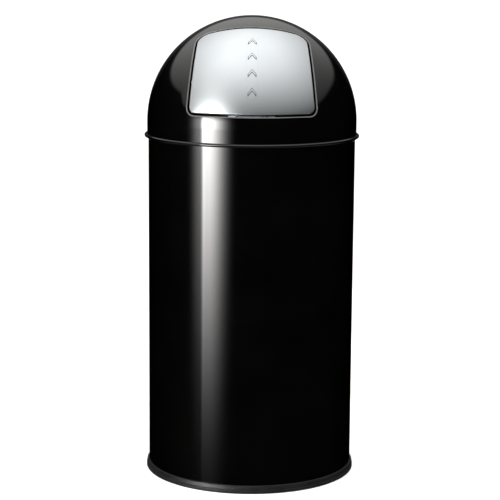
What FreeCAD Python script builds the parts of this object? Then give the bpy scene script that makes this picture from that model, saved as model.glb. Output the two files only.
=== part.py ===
import FreeCAD, Part
import math
import os

import Sketcher
from FreeCAD import Placement, Rotation, Vector

# Indoor litter bin: a rolled steel cylinder with a domed lift-off lid, a sprung push flap in the
# dome, and a galvanised inner liner with a folding bail handle.
# Origin: centre of the footprint, on the floor.  +Z up, the flap faces -Y.  Millimetres.

DIMENSIONS = {
    # body cylinder, with its top edge curled inwards
    "body_radius": 170,
    "body_sheet": 0.8,
    "body_foot": 3,
    "body_top": 582,
    "body_curl": 2.75,
    "curl_sweep": 280,
    "seam_proud": 0.6,
    "seam_angle": 4,
    "seam_foot": 14,
    "seam_top": 552,
    # plastic ring that the cylinder stands in
    "ring_radius": 174,
    "ring_shoulder": 172.4,
    "ring_height": 13.5,
    "ring_waist": 6,
    "ring_inner_height": 9,
    "ring_inner": 165.5,
    "ring_round": 2.5,
    "ring_crown": 1,
    "ring_gap": 0.05,
    # pressed base pan
    "pan_top": 20,
    "pan_sheet": 0.8,
    "pan_foot": 10,
    "pan_rib_inner": 90,
    "pan_rib_outer": 110,
    "pan_rib_drop": 2.5,
    # dome lid: a hemisphere on a short skirt with an outward bead
    "dome_radius": 172,
    "dome_sheet": 0.8,
    "dome_centre": 584,
    "bead_height": 561,
    "bead_curl": 2.8,
    "bead_sweep": 300,
    # ring inside the dome that rests on the body's curl and centres the lid
    "rest_gap": 0.3,
    "support_inner": 162.5,
    "support_sheet": 1,
    "support_foot": 560,
    "support_rim": 587,
    # flap outline, seen square on: heights from the dome's centre, across the tilted view
    "flap_tilt": 36,
    "flap_top": 80,
    "flap_shoulder_height": 62,
    "flap_shoulder": 87.5,
    "flap_hip_height": -45,
    "flap_hip": 97.5,
    "flap_foot_radius": 276,
    "flap_foot_centre": 197.1,
    "flap_top_corner": 19,
    "flap_foot_corner": 13,
    "flap_sheet": 1,
    "flap_rim_depth": 4,
    "flap_gap": 3,
    "lip_depth": 5,
    "tool_depth": 185,
    # raised marks on the flap
    "mark_width": 14,
    "mark_rise": 9,
    "mark_stroke": 6,
    "mark_pitch": 31,
    "mark_lowest": -54,
    "mark_proud": 0.5,
    # hinge axis, in the same tilted view
    "hinge_height": 70,
    "hinge_depth": 125,
    "rod_radius": 3,
    "rod_half_length": 76,
    "rod_groove_depth": 0.5,
    "rod_chamfer": 0.5,
    "clip_inner_face": 71.3,
    "clip_thickness": 0.8,
    "clip_radius": 5.6,
    "clip_slot": 3.4,
    "running_gap": 0.05,
    "bracket_face": 69,
    "bracket_sheet": 2,
    "bracket_boss": 6,
    "bracket_boss_start": 60,
    "bracket_boss_sweep": 210,
    "bracket_back_height": 42,
    "bracket_back_drop": 28,
    "bracket_far_height": 48,
    "bracket_neck_height": 16,
    "bracket_neck_rise": 15,
    "bracket_neck_foot": 15.5,
    "bracket_neck_drop": 0.7,
    "bracket_foot_width": 15,
    "arm_face": 54,
    "arm_sheet": 2,
    "arm_boss": 8,
    "arm_boss_end": 215,
    "arm_taper": 0.5,
    "arm_rise": 25,
    "arm_reach": 40,
    "arm_tip_rise": 40,
    "arm_tip_foot": 32,
    "arm_foot_width": 12,
    "arm_foot_low": 39,
    "arm_foot_high": 6,
    "bush_sleeve": 5,
    "bush_flange": 6.5,
    "bush_flange_sheet": 1.5,
    # torsion springs
    "spring_wire": 0.7,
    "spring_coil": 4.4,
    "spring_pitch": 1.5,
    "spring_whole_turns": 5,
    "spring_start": 58.9,
    "spring_flap_leg": 38,
    "spring_dome_leg": 27,
    "spring_dome_angle": 15,
    # stop strip behind the aperture's lower lip
    "stop_half_width": 36,
    "stop_foot_top": -56,
    "stop_bend": -70,
    "stop_tail": -88,
    "stop_sheet": 1.2,
    "stop_radius": 164,
    "bumper_radius": 3.6,
    "bumper_offset": 24,
    "bumper_height": -81.3,
    "bumper_gap": 0.3,
    # liner
    "liner_foot": 20.3,
    "liner_foot_radius": 138,
    "liner_top_radius": 150,
    "liner_top": 549,
    "liner_curl": 2.75,
    "liner_sheet": 0.6,
    "liner_floor": 22.4,
    "liner_floor_gap": 0.08,
    # ears that carry the bail
    "ear_face": 146.2,
    "ear_sheet": 1.5,
    "ear_foot": 515,
    "ear_half_width": 12,
    "ear_side_top": 550,
    "ear_round": 13,
    "rivet_radius": 2,
    "rivet_head": 3.5,
    "rivet_head_sheet": 1.2,
    "rivet_bevel": 1,
    "rivet_edge": 0.3,
    "rivet_outside": 149.85,
    "rivet_low": 523,
    "rivet_high": 536,
    # bail handle, folded to the back
    "bail_pivot_height": 552,
    "bail_wire": 2.5,
    "bail_bore_gap": 0.08,
    "bail_half_span": 152,
    "bail_end": 143,
    "bail_elbow": 4,
    "bail_side_centre": 28,
    "bail_side_sweep": 60,
    "bail_head": 3.6,
    "bail_head_sheet": 1.6,
    "grip_radius": 8,
    "grip_wall_gap": 0.1,
    "grip_sweep": 36,
}

# a pocket has to remove at least this many cubic millimetres, and a straight edge counts as
# parallel to a direction above this cosine
LEAST_CUT = 0.5
PARALLEL = 0.999

doc = FreeCAD.newDocument("LitterBin")
sheet = doc.addObject("Spreadsheet::Sheet", "Sizes")
for row, (alias, number) in enumerate(DIMENSIONS.items(), start=1):
    sheet.set(f"A{row}", str(number))
    sheet.setAlias(f"A{row}", alias)
doc.recompute()


class Size:
    """A number together with the sheet expression that it comes from."""

    def __init__(self, value, text):
        self.value = value
        self.text = text

    def __add__(self, other):
        other = as_size(other)
        return Size(self.value + other.value, f"({self.text} + {other.text})")

    def __sub__(self, other):
        other = as_size(other)
        return Size(self.value - other.value, f"({self.text} - {other.text})")

    def __mul__(self, other):
        other = as_size(other)
        return Size(self.value * other.value, f"({self.text} * {other.text})")

    def __truediv__(self, other):
        other = as_size(other)
        return Size(self.value / other.value, f"({self.text} / {other.text})")

    def __rsub__(self, other):
        return as_size(other) - self

    def __rmul__(self, other):
        return as_size(other) * self

    def __neg__(self):
        return Size(-self.value, f"(-1 * {self.text})")


def as_size(number):
    return number if isinstance(number, Size) else Size(float(number), f"({number})")


def sine(angle):
    angle = as_size(angle)
    return Size(math.sin(math.radians(angle.value)), f"sin({angle.text})")


def cosine(angle):
    angle = as_size(angle)
    return Size(math.cos(math.radians(angle.value)), f"cos({angle.text})")


def root(square):
    return Size(math.sqrt(square.value), f"sqrt({square.text})")


class Sheet:
    """Reads a dimension from the spreadsheet by its alias."""

    def __getattr__(self, alias):
        return Size(float(sheet.get(alias)), f"Sizes.{alias}")


S = Sheet()
HINGE_Y = S.hinge_height * sine(S.flap_tilt) - S.hinge_depth * cosine(S.flap_tilt)
HINGE_Z = S.dome_centre + S.hinge_height * cosine(S.flap_tilt) + S.hinge_depth * sine(S.flap_tilt)
X_AXIS = Vector(1, 0, 0)
Z_AXIS = Vector(0, 0, 1)


# ---------------------------------------------------------------- helpers


def bind(obj, **sizes):
    """Sets each property of obj to a size and keeps it bound to the sheet."""
    for name, size in sizes.items():
        setattr(obj, name, as_size(size).value)
        obj.setExpression(name, as_size(size).text)
    return obj


def place(obj, x=0, y=0, z=0, axis=None, angle=0):
    """Moves obj to a bound position, turned about axis by a bound angle."""
    x, y, z, angle = as_size(x), as_size(y), as_size(z), as_size(angle)
    rotation = Rotation(axis or Z_AXIS, angle.value)
    obj.Placement = Placement(Vector(x.value, y.value, z.value), rotation)
    obj.setExpression("Placement.Base.x", x.text)
    obj.setExpression("Placement.Base.y", y.text)
    obj.setExpression("Placement.Base.z", z.text)
    if axis is not None:
        obj.setExpression("Placement.Rotation.Angle", angle.text)
    return obj


def new_body(name):
    return doc.addObject("PartDesign::Body", name)


class Outline:
    """A closed sketch drawn point by point, each point bound to the sheet."""

    def __init__(self, body, name, plane="XZ_Plane"):
        self.sketch = body.newObject("Sketcher::SketchObject", name)
        support = [item for item in body.Origin.OriginFeatures if item.Role == plane][0]
        self.sketch.AttachmentSupport = (support, [""])
        self.sketch.MapMode = "FlatFace"
        self.points = []

    def shift(self, x=0, y=0, z=0, axis=None, angle=0):
        """Moves the sketch off its plane, in the plane's own directions."""
        x, y, z, angle = as_size(x), as_size(y), as_size(z), as_size(angle)
        rotation = Rotation(axis or Z_AXIS, angle.value)
        self.sketch.AttachmentOffset = Placement(Vector(x.value, y.value, z.value), rotation)
        self.sketch.setExpression("AttachmentOffset.Base.x", x.text)
        self.sketch.setExpression("AttachmentOffset.Base.y", y.text)
        self.sketch.setExpression("AttachmentOffset.Base.z", z.text)
        if axis is not None:
            self.sketch.setExpression("AttachmentOffset.Rotation.Angle", angle.text)
        return self

    def hold(self, geometry, point, x, y):
        """Fixes one point of the sketch at a bound position."""
        for kind, size in (("DistanceX", x), ("DistanceY", y)):
            size = as_size(size)
            index = self.sketch.addConstraint(
                Sketcher.Constraint(kind, -1, 1, geometry, point, size.value)
            )
            self.sketch.setExpression(f"Constraints[{index}]", size.text)

    def radius(self, geometry, size):
        index = self.sketch.addConstraint(Sketcher.Constraint("Radius", geometry, size.value))
        self.sketch.setExpression(f"Constraints[{index}]", size.text)

    def point(self, x, y, arc=None):
        """Adds a corner; arc gives the stretch that leads to it: centre x, y, radius and turn."""
        self.points.append((as_size(x), as_size(y), arc))
        return self

    def curl(self, centre_x, centre_y, radius, start, sweep):
        """Adds an arc from the last corner, about a centre, over sweep degrees from start."""
        radius = as_size(radius)
        end = as_size(start) + sweep
        turn = 1 if as_size(sweep).value > 0 else -1
        x = as_size(centre_x) + radius * cosine(end)
        y = as_size(centre_y) + radius * sine(end)
        return self.point(x, y, (as_size(centre_x), as_size(centre_y), radius, turn))

    def draw(self, closed=True):
        """Draws the stretches between the corners and solves the sketch."""
        corners = self.points
        count = len(corners) if closed else len(corners) - 1
        ends = []
        for index in range(count):
            x0, y0, _ = corners[index]
            x1, y1, arc = corners[(index + 1) % len(corners)]
            start, end = Vector(x0.value, y0.value, 0), Vector(x1.value, y1.value, 0)
            if arc is None:
                self.sketch.addGeometry(Part.LineSegment(start, end))
                ends.append((1, 2))
                continue
            centre = Vector(arc[0].value, arc[1].value, 0)
            first = math.atan2(start.y - centre.y, start.x - centre.x)
            last = math.atan2(end.y - centre.y, end.x - centre.x)
            if arc[3] < 0:
                first, last = last, first
            circle = Part.Circle(centre, Z_AXIS, arc[2].value)
            self.sketch.addGeometry(Part.ArcOfCircle(circle, first, last))
            ends.append((1, 2) if arc[3] > 0 else (2, 1))
        joints = range(count) if closed else range(1, count)
        for index in joints:
            self.sketch.addConstraint(
                Sketcher.Constraint("Coincident", index - 1 if index else count - 1,
                                    ends[index - 1][1], index, ends[index][0])
            )
        for index in range(count):
            self.hold(index, ends[index][0], corners[index][0], corners[index][1])
            arc = corners[(index + 1) % len(corners)][2]
            if arc is not None:
                self.radius(index, arc[2])
        if not closed:
            self.hold(count - 1, ends[-1][1], corners[-1][0], corners[-1][1])
        self.sketch.solve()
        return self.sketch

    def circle(self, x, y, radius):
        """Draws one bound circle."""
        x, y, radius = as_size(x), as_size(y), as_size(radius)
        centre = Vector(x.value, y.value, 0)
        index = self.sketch.addGeometry(Part.Circle(centre, Z_AXIS, radius.value))
        self.hold(index, 3, x, y)
        self.radius(index, radius)
        return self


def revolve(body, sketch, name, axis="V_Axis", angle=360, midplane=False):
    turned = body.newObject("PartDesign::Revolution", name)
    turned.Profile = sketch
    turned.ReferenceAxis = (sketch, [axis])
    bind(turned, Angle=angle)
    turned.Midplane = midplane
    doc.recompute()
    return turned


def pad(body, sketch, name, length, symmetric=False):
    raised = body.newObject("PartDesign::Pad", name)
    raised.Profile = sketch
    bind(raised, Length=length)
    raised.SideType = "Symmetric" if symmetric else "One side"
    doc.recompute()
    return raised


def pocket(body, sketch, name):
    """Cuts a sketch right through the body, both ways, and checks that it removed something."""
    before = body.Shape.Volume
    hole = body.newObject("PartDesign::Pocket", name)
    hole.Profile = sketch
    hole.Type = "ThroughAll"
    hole.Midplane = True
    doc.recompute()
    if body.Shape.Volume > before - LEAST_CUT:
        raise RuntimeError(f"{name} cuts nothing")
    return hole


def boolean(kind, name, *shapes):
    """A Part boolean: Cut, Common or MultiFuse of the shapes."""
    result = doc.addObject(f"Part::{kind}", name)
    if kind in ("Cut", "Common"):
        result.Base, result.Tool = shapes
    else:
        result.Shapes = list(shapes)
    doc.recompute()
    return result


def mirrored(name, source):
    """The left-hand twin of a piece, across the YZ plane."""
    twin = doc.addObject("Part::Mirroring", name)
    twin.Source = source
    twin.Normal = X_AXIS
    doc.recompute()
    return twin


def group(name, *pieces):
    """Separate solids that share one node."""
    compound = doc.addObject("Part::Compound", name)
    compound.Links = list(pieces)
    doc.recompute()
    return compound


def ball(name, radius):
    sphere = bind(doc.addObject("Part::Sphere", name), Radius=radius)
    return place(sphere, z=S.dome_centre)


def dome_zone(name, inner, outer):
    """The space between two spheres about the dome's centre."""
    return boolean("Cut", name, ball(name + "_outer", outer), ball(name + "_inner", inner))


def facing_sketch(body, name):
    """A sketch through the dome's centre, square to the flap: x across, y up the flap."""
    return Outline(body, name, "XZ_Plane").shift(y=S.dome_centre, axis=X_AXIS, angle=-S.flap_tilt)


def profile_sketch(body, name, face):
    """A sketch beside the flap at x = face: x up the flap, y outwards from the dome's centre."""
    side = Outline(body, name, "YZ_Plane")
    return side.shift(y=S.dome_centre, z=face, axis=Z_AXIS, angle=as_size(90) - S.flap_tilt)


def facing_rectangle(name, left, right, bottom, top):
    """A prism that runs outwards from the dome's centre through a rectangle of the flap's view."""
    body = new_body(name)
    outline = facing_sketch(body, name + "_outline")
    outline.point(left, bottom).point(right, bottom).point(right, top).point(left, top)
    pad(body, outline.draw(), name + "_pad", S.tool_depth)
    return body


# ---------------------------------------------------------------- body


def make_body_shell():
    body = new_body("body_shell")
    wall = Outline(body, "body_shell_profile")
    centre_x = S.body_radius - S.body_curl
    centre_z = S.body_top - S.body_curl
    inner_curl = S.body_curl - S.body_sheet
    inner = S.body_radius - S.body_sheet
    wall.point(inner, S.body_foot).point(S.body_radius, S.body_foot).point(S.body_radius, centre_z)
    wall.curl(centre_x, centre_z, S.body_curl, 0, S.curl_sweep)
    wall.point(centre_x + inner_curl * cosine(S.curl_sweep), centre_z + inner_curl * sine(S.curl_sweep))
    wall.curl(centre_x, centre_z, inner_curl, S.curl_sweep, -S.curl_sweep)
    revolve(body, wall.draw(), "body_shell_wall")
    seam = Outline(body, "body_seam_profile", "YZ_Plane")
    proud = S.body_radius + S.seam_proud
    middle = S.body_radius - S.body_sheet / 2
    seam.point(middle, S.seam_foot).point(proud, S.seam_foot)
    seam.point(proud, S.seam_top).point(middle, S.seam_top)
    revolve(body, seam.draw(), "body_seam", angle=S.seam_angle, midplane=True)
    return body


def make_floor_ring():
    body = new_body("floor_ring")
    groove_out = S.body_radius + S.ring_gap
    groove_in = S.body_radius - S.body_sheet - S.ring_gap
    groove_floor = S.body_foot - S.ring_gap
    flat = S.ring_radius - S.ring_round
    crown = S.ring_height - S.ring_crown
    ring = Outline(body, "floor_ring_profile")
    ring.point(S.ring_inner, 0).point(flat, 0)
    ring.curl(flat, S.ring_round, S.ring_round, -90, 90)
    ring.point(S.ring_radius, S.ring_waist).point(S.ring_shoulder, crown)
    ring.curl(S.ring_shoulder - S.ring_crown, crown, S.ring_crown, 0, 90)
    ring.point(groove_out, S.ring_height).point(groove_out, groove_floor)
    ring.point(groove_in, groove_floor).point(groove_in, S.ring_inner_height)
    ring.point(S.ring_inner, S.ring_inner_height)
    revolve(body, ring.draw(), "floor_ring_turned")
    return body


def make_base_pan():
    body = new_body("base_pan")
    outer = S.body_radius - S.body_sheet - S.ring_gap
    inner = outer - S.pan_sheet
    under = S.pan_top - S.pan_sheet
    slope = S.pan_rib_drop
    pan = Outline(body, "base_pan_profile")
    pan.point(0, under).point(S.pan_rib_inner, under)
    pan.point(S.pan_rib_inner + slope, under - S.pan_rib_drop)
    pan.point(S.pan_rib_outer - slope, under - S.pan_rib_drop).point(S.pan_rib_outer, under)
    pan.point(inner, under).point(inner, S.pan_foot).point(outer, S.pan_foot)
    pan.point(outer, S.pan_top).point(S.pan_rib_outer, S.pan_top)
    pan.point(S.pan_rib_outer - slope, S.pan_top - S.pan_rib_drop)
    pan.point(S.pan_rib_inner + slope, S.pan_top - S.pan_rib_drop)
    pan.point(S.pan_rib_inner, S.pan_top).point(0, S.pan_top)
    revolve(body, pan.draw(), "base_pan_pressed")
    return body


# ---------------------------------------------------------------- flap outline


def flap_prism(name, grow):
    """The flap's outline, grown outwards by grow, as a prism out of the dome's centre."""
    body = new_body(name)
    outline = facing_sketch(body, name + "_outline")
    sketch = outline.sketch
    rise = S.flap_shoulder_height - S.flap_hip_height
    run = S.flap_hip - S.flap_shoulder
    slant = root(rise * rise + run * run)
    out_x, out_y = rise / slant * grow, run / slant * grow
    top = S.flap_top + grow
    foot = S.flap_foot_radius + grow
    shoulder = (S.flap_shoulder + out_x, S.flap_shoulder_height + out_y)
    hip = (S.flap_hip + out_x, S.flap_hip_height + out_y)
    corner_x = hip[0].value
    corner_y = S.flap_foot_centre.value - math.sqrt(foot.value**2 - corner_x**2)
    centre = Vector(0, S.flap_foot_centre.value, 0)
    first = math.atan2(corner_y - centre.y, -corner_x)
    last = math.atan2(corner_y - centre.y, corner_x)
    top_left = Vector(-shoulder[0].value, top.value, 0)
    top_right = Vector(shoulder[0].value, top.value, 0)
    foot_right = Vector(corner_x, corner_y, 0)
    foot_left = Vector(-corner_x, corner_y, 0)
    sketch.addGeometry(Part.LineSegment(top_left, top_right))
    sketch.addGeometry(Part.LineSegment(top_right, foot_right))
    sketch.addGeometry(Part.ArcOfCircle(Part.Circle(centre, Z_AXIS, foot.value), first, last))
    sketch.addGeometry(Part.LineSegment(foot_left, top_left))
    for first_end, second_end in (((0, 2), (1, 1)), ((1, 2), (2, 2)), ((2, 1), (3, 1)), ((3, 2), (0, 1))):
        sketch.addConstraint(Sketcher.Constraint("Coincident", *first_end, *second_end))
    for edge in (0, 2):
        sketch.addConstraint(Sketcher.Constraint("Symmetric", edge, 1, edge, 2, -2))
    for x, y in (shoulder, hip):
        mark = sketch.addGeometry(Part.Point(Vector(x.value, y.value, 0)), True)
        outline.hold(mark, 1, x, y)
        sketch.addConstraint(Sketcher.Constraint("PointOnObject", mark, 1, 1))
    for geometry, point, size in ((0, 2, top), (2, 3, S.flap_foot_centre)):
        index = sketch.addConstraint(Sketcher.Constraint("DistanceY", -1, 1, geometry, point, size.value))
        sketch.setExpression(f"Constraints[{index}]", size.text)
    outline.radius(2, foot)
    sketch.solve()
    pad(body, sketch, name + "_pad", S.tool_depth)
    outwards = Vector(0, -cosine(S.flap_tilt).value, sine(S.flap_tilt).value)
    upwards = Vector(0, sine(S.flap_tilt).value, cosine(S.flap_tilt).value)
    middle = Vector(0, 0, S.dome_centre.value)
    for corners, size, side in (("top", S.flap_top_corner, 1), ("foot", S.flap_foot_corner, -1)):
        base = body.Tip
        edges = [
            f"Edge{number}"
            for number, edge in enumerate(base.Shape.Edges, start=1)
            if runs_along(edge, outwards) and side * (edge.CenterOfMass - middle).dot(upwards) > 0
        ]
        rounded = body.newObject("PartDesign::Fillet", f"{name}_{corners}_corners")
        rounded.Base = (base, edges)
        bind(rounded, Radius=size + grow)
        doc.recompute()
    return body


def runs_along(edge, direction):
    """Whether an edge is straight and parallel to a direction."""
    if edge.Curve.TypeId != "Part::GeomLine":
        return False
    return abs(edge.Curve.Direction.dot(direction)) > PARALLEL


# ---------------------------------------------------------------- dome lid


def make_dome_shell(flap_gap_prism, lip_prism):
    body = new_body("dome_blank")
    inner = S.dome_radius - S.dome_sheet
    curl_x = inner + S.bead_curl
    small = S.bead_curl - S.dome_sheet
    skin = Outline(body, "dome_profile")
    skin.point(0, S.dome_centre + inner)
    skin.point(inner, S.dome_centre, (as_size(0), S.dome_centre, inner, -1))
    skin.point(inner, S.bead_height)
    skin.curl(curl_x, S.bead_height, S.bead_curl, 180, S.bead_sweep)
    skin.point(curl_x + small * cosine(S.bead_sweep + 180), S.bead_height + small * sine(S.bead_sweep + 180))
    skin.curl(curl_x, S.bead_height, small, S.bead_sweep + 180, -S.bead_sweep)
    skin.point(S.dome_radius, S.dome_centre)
    skin.point(0, S.dome_centre + S.dome_radius, (as_size(0), S.dome_centre, S.dome_radius, 1))
    revolve(body, skin.draw(), "dome_turned")
    opened = boolean("Cut", "dome_opened", body, flap_gap_prism)
    lip_wall = boolean("Cut", "aperture_lip_wall", lip_prism, flap_gap_prism)
    middle = S.dome_radius - S.dome_sheet / 2
    lip_zone = dome_zone("aperture_lip_zone", S.dome_radius - S.lip_depth, middle)
    lip = boolean("Common", "aperture_lip", lip_wall, lip_zone)
    return boolean("MultiFuse", "dome_shell", opened, lip)


def make_dome_support_ring():
    body = new_body("dome_support_ring")
    outer = S.dome_radius - S.dome_sheet - S.running_gap
    under = S.body_top + S.rest_gap
    leg = S.support_inner + S.support_sheet
    ring = Outline(body, "support_ring_profile")
    ring.point(S.support_inner, S.support_foot).point(leg, S.support_foot).point(leg, under)
    ring.point(outer, under).point(outer, S.support_rim).point(outer - S.support_sheet, S.support_rim)
    ring.point(outer - S.support_sheet, under + S.support_sheet)
    ring.point(S.support_inner, under + S.support_sheet)
    revolve(body, ring.draw(), "support_ring_turned")
    return body


def make_bracket():
    """Right-hand bracket: a side plate that carries the rod, and a foot welded under the dome."""
    plate = new_body("bracket_plate")
    web = profile_sketch(plate, "bracket_web", S.bracket_face)
    up, out = S.hinge_height, S.hinge_depth
    start = S.bracket_boss_start
    web.point(up + S.bracket_boss * cosine(start), out + S.bracket_boss * sine(start))
    web.curl(up, out, S.bracket_boss, start, S.bracket_boss_sweep)
    web.point(up + S.bracket_back_height, out - S.bracket_back_drop)
    web.point(up + S.bracket_far_height, out)
    web.point(up + S.bracket_neck_height, out + S.bracket_neck_rise)
    web.point(up + S.bracket_neck_foot, out - S.bracket_neck_drop)
    pad(plate, web.draw(), "bracket_web_pad", S.bracket_sheet)
    bore = profile_sketch(plate, "bracket_bore_outline", 0)
    bore.circle(up, out, S.rod_radius + S.running_gap)
    pocket(plate, bore.sketch, "bracket_bore")
    inner = S.dome_radius - S.dome_sheet
    trimmed = boolean("Common", "bracket_trimmed", plate, ball("bracket_ball", inner))
    foot = facing_rectangle(
        "bracket_foot_prism", S.bracket_face, S.bracket_face + S.bracket_foot_width,
        up + S.bracket_neck_height, up + S.bracket_back_height,
    )
    zone = dome_zone("bracket_foot_zone", inner - S.bracket_sheet, inner)
    patch = boolean("Common", "bracket_foot", foot, zone)
    return boolean("MultiFuse", "hinge_bracket_right", trimmed, patch)


def make_hinge_rod():
    body = new_body("hinge_rod")
    rod = Outline(body, "rod_profile", "XY_Plane")
    end, radius = S.rod_half_length, S.rod_radius
    groove = radius - S.rod_groove_depth
    bevel = S.rod_chamfer
    near = S.clip_inner_face - S.running_gap
    far = S.clip_inner_face + S.clip_thickness + S.running_gap
    rod.point(-end, 0).point(end, 0).point(end, radius - bevel).point(end - bevel, radius)
    rod.point(far, radius).point(far, groove).point(near, groove).point(near, radius)
    rod.point(-near, radius).point(-near, groove).point(-far, groove).point(-far, radius)
    rod.point(bevel - end, radius).point(-end, radius - bevel)
    revolve(body, rod.draw(), "rod_turned", axis="H_Axis")
    return place(body, y=HINGE_Y, z=HINGE_Z)


def make_clip():
    """Right-hand retaining clip: an open washer in the rod's groove."""
    body = new_body("clip_right")
    face = Outline(body, "clip_outline", "YZ_Plane").shift(z=S.clip_inner_face)
    face.circle(0, 0, S.clip_radius).circle(0, 0, S.rod_radius - S.rod_groove_depth + S.running_gap)
    pad(body, face.sketch, "clip_pad", S.clip_thickness)
    slot = Outline(body, "clip_slot_outline", "YZ_Plane")
    half = S.clip_slot / 2
    slot.point(-half, -2 * S.clip_radius).point(half, -2 * S.clip_radius).point(half, 0).point(-half, 0)
    pocket(body, slot.draw(), "clip_slot_cut")
    return place(body, y=HINGE_Y, z=HINGE_Z)


def make_spring():
    """Right-hand torsion spring: a coil round the rod, one leg on the flap and one on the dome."""
    coil = new_body("spring_coil_body")
    wire = Outline(coil, "spring_wire_outline", "XZ_Plane")
    wire.circle(S.spring_coil, 0, S.spring_wire)
    helix = coil.newObject("PartDesign::AdditiveHelix", "spring_helix")
    helix.Profile = wire.sketch
    helix.ReferenceAxis = (wire.sketch, ["V_Axis"])
    helix.Mode = "pitch-turns-angle"
    turn = -(S.spring_dome_angle + S.flap_tilt)
    turns = S.spring_whole_turns + (turn + 270) / 360
    bind(helix, Pitch=S.spring_pitch, Turns=turns)
    doc.recompute()
    place(coil, x=S.spring_start, y=HINGE_Y, z=HINGE_Z, axis=Vector(0, 1, 0), angle=90)
    end = S.spring_start + S.spring_pitch * turns
    flap_leg = make_spring_leg("spring_flap_leg", S.spring_start, as_size(90), S.spring_flap_leg)
    dome_leg = make_spring_leg("spring_dome_leg", end, turn, S.spring_dome_leg)
    return boolean("MultiFuse", "return_spring_right", coil, flap_leg, dome_leg)


def make_spring_leg(name, x, turn, length):
    """A straight leg that leaves the coil at a tangent, turned about the rod from upright."""
    leg = bind(doc.addObject("Part::Cylinder", name), Radius=S.spring_wire, Height=length)
    foot_y = HINGE_Y - S.spring_coil * cosine(turn)
    foot_z = HINGE_Z - S.spring_coil * sine(turn)
    return place(leg, x=x, y=foot_y, z=foot_z, axis=X_AXIS, angle=turn)


# ---------------------------------------------------------------- flap


def make_flap_panel(outer_prism, inner_prism):
    """A spherical sheet with its edge turned in all round and four raised chevrons."""
    inner = S.dome_radius - S.flap_sheet
    skin = boolean("Common", "flap_skin", dome_zone("flap_skin_zone", inner, S.dome_radius), outer_prism)
    rim_wall = boolean("Cut", "flap_rim_wall", outer_prism, inner_prism)
    middle = S.dome_radius - S.flap_sheet / 2
    rim_zone = dome_zone("flap_rim_zone", S.dome_radius - S.flap_rim_depth, middle)
    rim = boolean("Common", "flap_rim", rim_wall, rim_zone)
    mark_zone = dome_zone("flap_mark_zone", middle, S.dome_radius + S.mark_proud)
    marks = [
        boolean("Common", f"flap_mark_{number}", make_chevron(number), mark_zone)
        for number in range(1, 5)
    ]
    return boolean("MultiFuse", "flap_panel", skin, rim, *marks)


def make_chevron(number):
    """One upward chevron of the column on the flap, counted from the lowest."""
    body = new_body(f"flap_chevron_{number}")
    outline = facing_sketch(body, f"flap_chevron_{number}_outline")
    low = S.mark_lowest + S.mark_pitch * (number - 1)
    half = S.mark_width / 2
    outline.point(-half, low).point(0, low + S.mark_rise).point(half, low)
    outline.point(half, low + S.mark_stroke).point(0, low + S.mark_rise + S.mark_stroke)
    outline.point(-half, low + S.mark_stroke)
    pad(body, outline.draw(), f"flap_chevron_{number}_pad", S.tool_depth)
    return body


def make_flap_arm():
    """Right-hand arm: a side plate with the bush hole, and a foot welded to the panel's back."""
    plate = new_body("arm_plate")
    web = profile_sketch(plate, "arm_web", S.arm_face)
    up, out, boss = S.hinge_height, S.hinge_depth, S.arm_boss
    web.point(up + boss, out, (up, out, boss, 1))
    web.point(up + boss - S.arm_taper, out + S.arm_rise)
    web.point(up - S.arm_reach, out + S.arm_tip_rise).point(up - S.arm_reach, out + S.arm_tip_foot)
    web.point(up + boss * cosine(S.arm_boss_end), out + boss * sine(S.arm_boss_end))
    pad(plate, web.draw(), "arm_web_pad", S.arm_sheet)
    hole = profile_sketch(plate, "arm_hole_outline", 0)
    hole.circle(up, out, S.bush_sleeve)
    pocket(plate, hole.sketch, "arm_hole")
    inner = S.dome_radius - S.flap_sheet
    trimmed = boolean("Common", "arm_trimmed", plate, ball("arm_ball", inner))
    face = S.arm_face + S.arm_sheet
    foot = facing_rectangle(
        "arm_foot_prism", face - S.arm_foot_width, face,
        up - S.arm_foot_low, up + S.arm_foot_high,
    )
    zone = dome_zone("arm_foot_zone", inner - S.arm_sheet, inner)
    patch = boolean("Common", "arm_foot", foot, zone)
    return boolean("MultiFuse", "flap_arm_right", trimmed, patch)


def make_bush():
    """Right-hand nylon bush: a flanged sleeve that turns on the rod."""
    body = new_body("flap_bush_right")
    turned = Outline(body, "bush_profile", "XY_Plane")
    bore = S.rod_radius + S.running_gap
    near, far = S.arm_face, S.arm_face + S.arm_sheet
    turned.point(near - S.bush_flange_sheet, bore).point(far + S.bush_flange_sheet, bore)
    turned.point(far + S.bush_flange_sheet, S.bush_flange).point(far, S.bush_flange)
    turned.point(far, S.bush_sleeve).point(near, S.bush_sleeve).point(near, S.bush_flange)
    turned.point(near - S.bush_flange_sheet, S.bush_flange)
    revolve(body, turned.draw(), "bush_turned", axis="H_Axis")
    return place(body, y=HINGE_Y, z=HINGE_Z)


def make_stop_strip():
    """A cranked strip on the panel's back that reaches down behind the aperture's lower lip."""
    half, thick = S.stop_half_width, S.stop_sheet
    inner = S.dome_radius - S.flap_sheet
    foot_prism = facing_rectangle("stop_foot_prism", -half, half, S.stop_bend, S.stop_foot_top)
    riser_prism = facing_rectangle("stop_riser_prism", -half, half, S.stop_bend, S.stop_bend + thick)
    tail_prism = facing_rectangle("stop_tail_prism", -half, half, S.stop_tail, S.stop_bend + thick)
    pieces = [
        boolean("Common", "stop_foot", foot_prism, dome_zone("stop_foot_zone", inner - thick, inner)),
        boolean("Common", "stop_riser", riser_prism, dome_zone("stop_riser_zone", S.stop_radius, inner)),
        boolean("Common", "stop_tail_piece", tail_prism,
                dome_zone("stop_tail_zone", S.stop_radius, S.stop_radius + thick)),
    ]
    return boolean("MultiFuse", "flap_stop_strip", *pieces)


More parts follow.
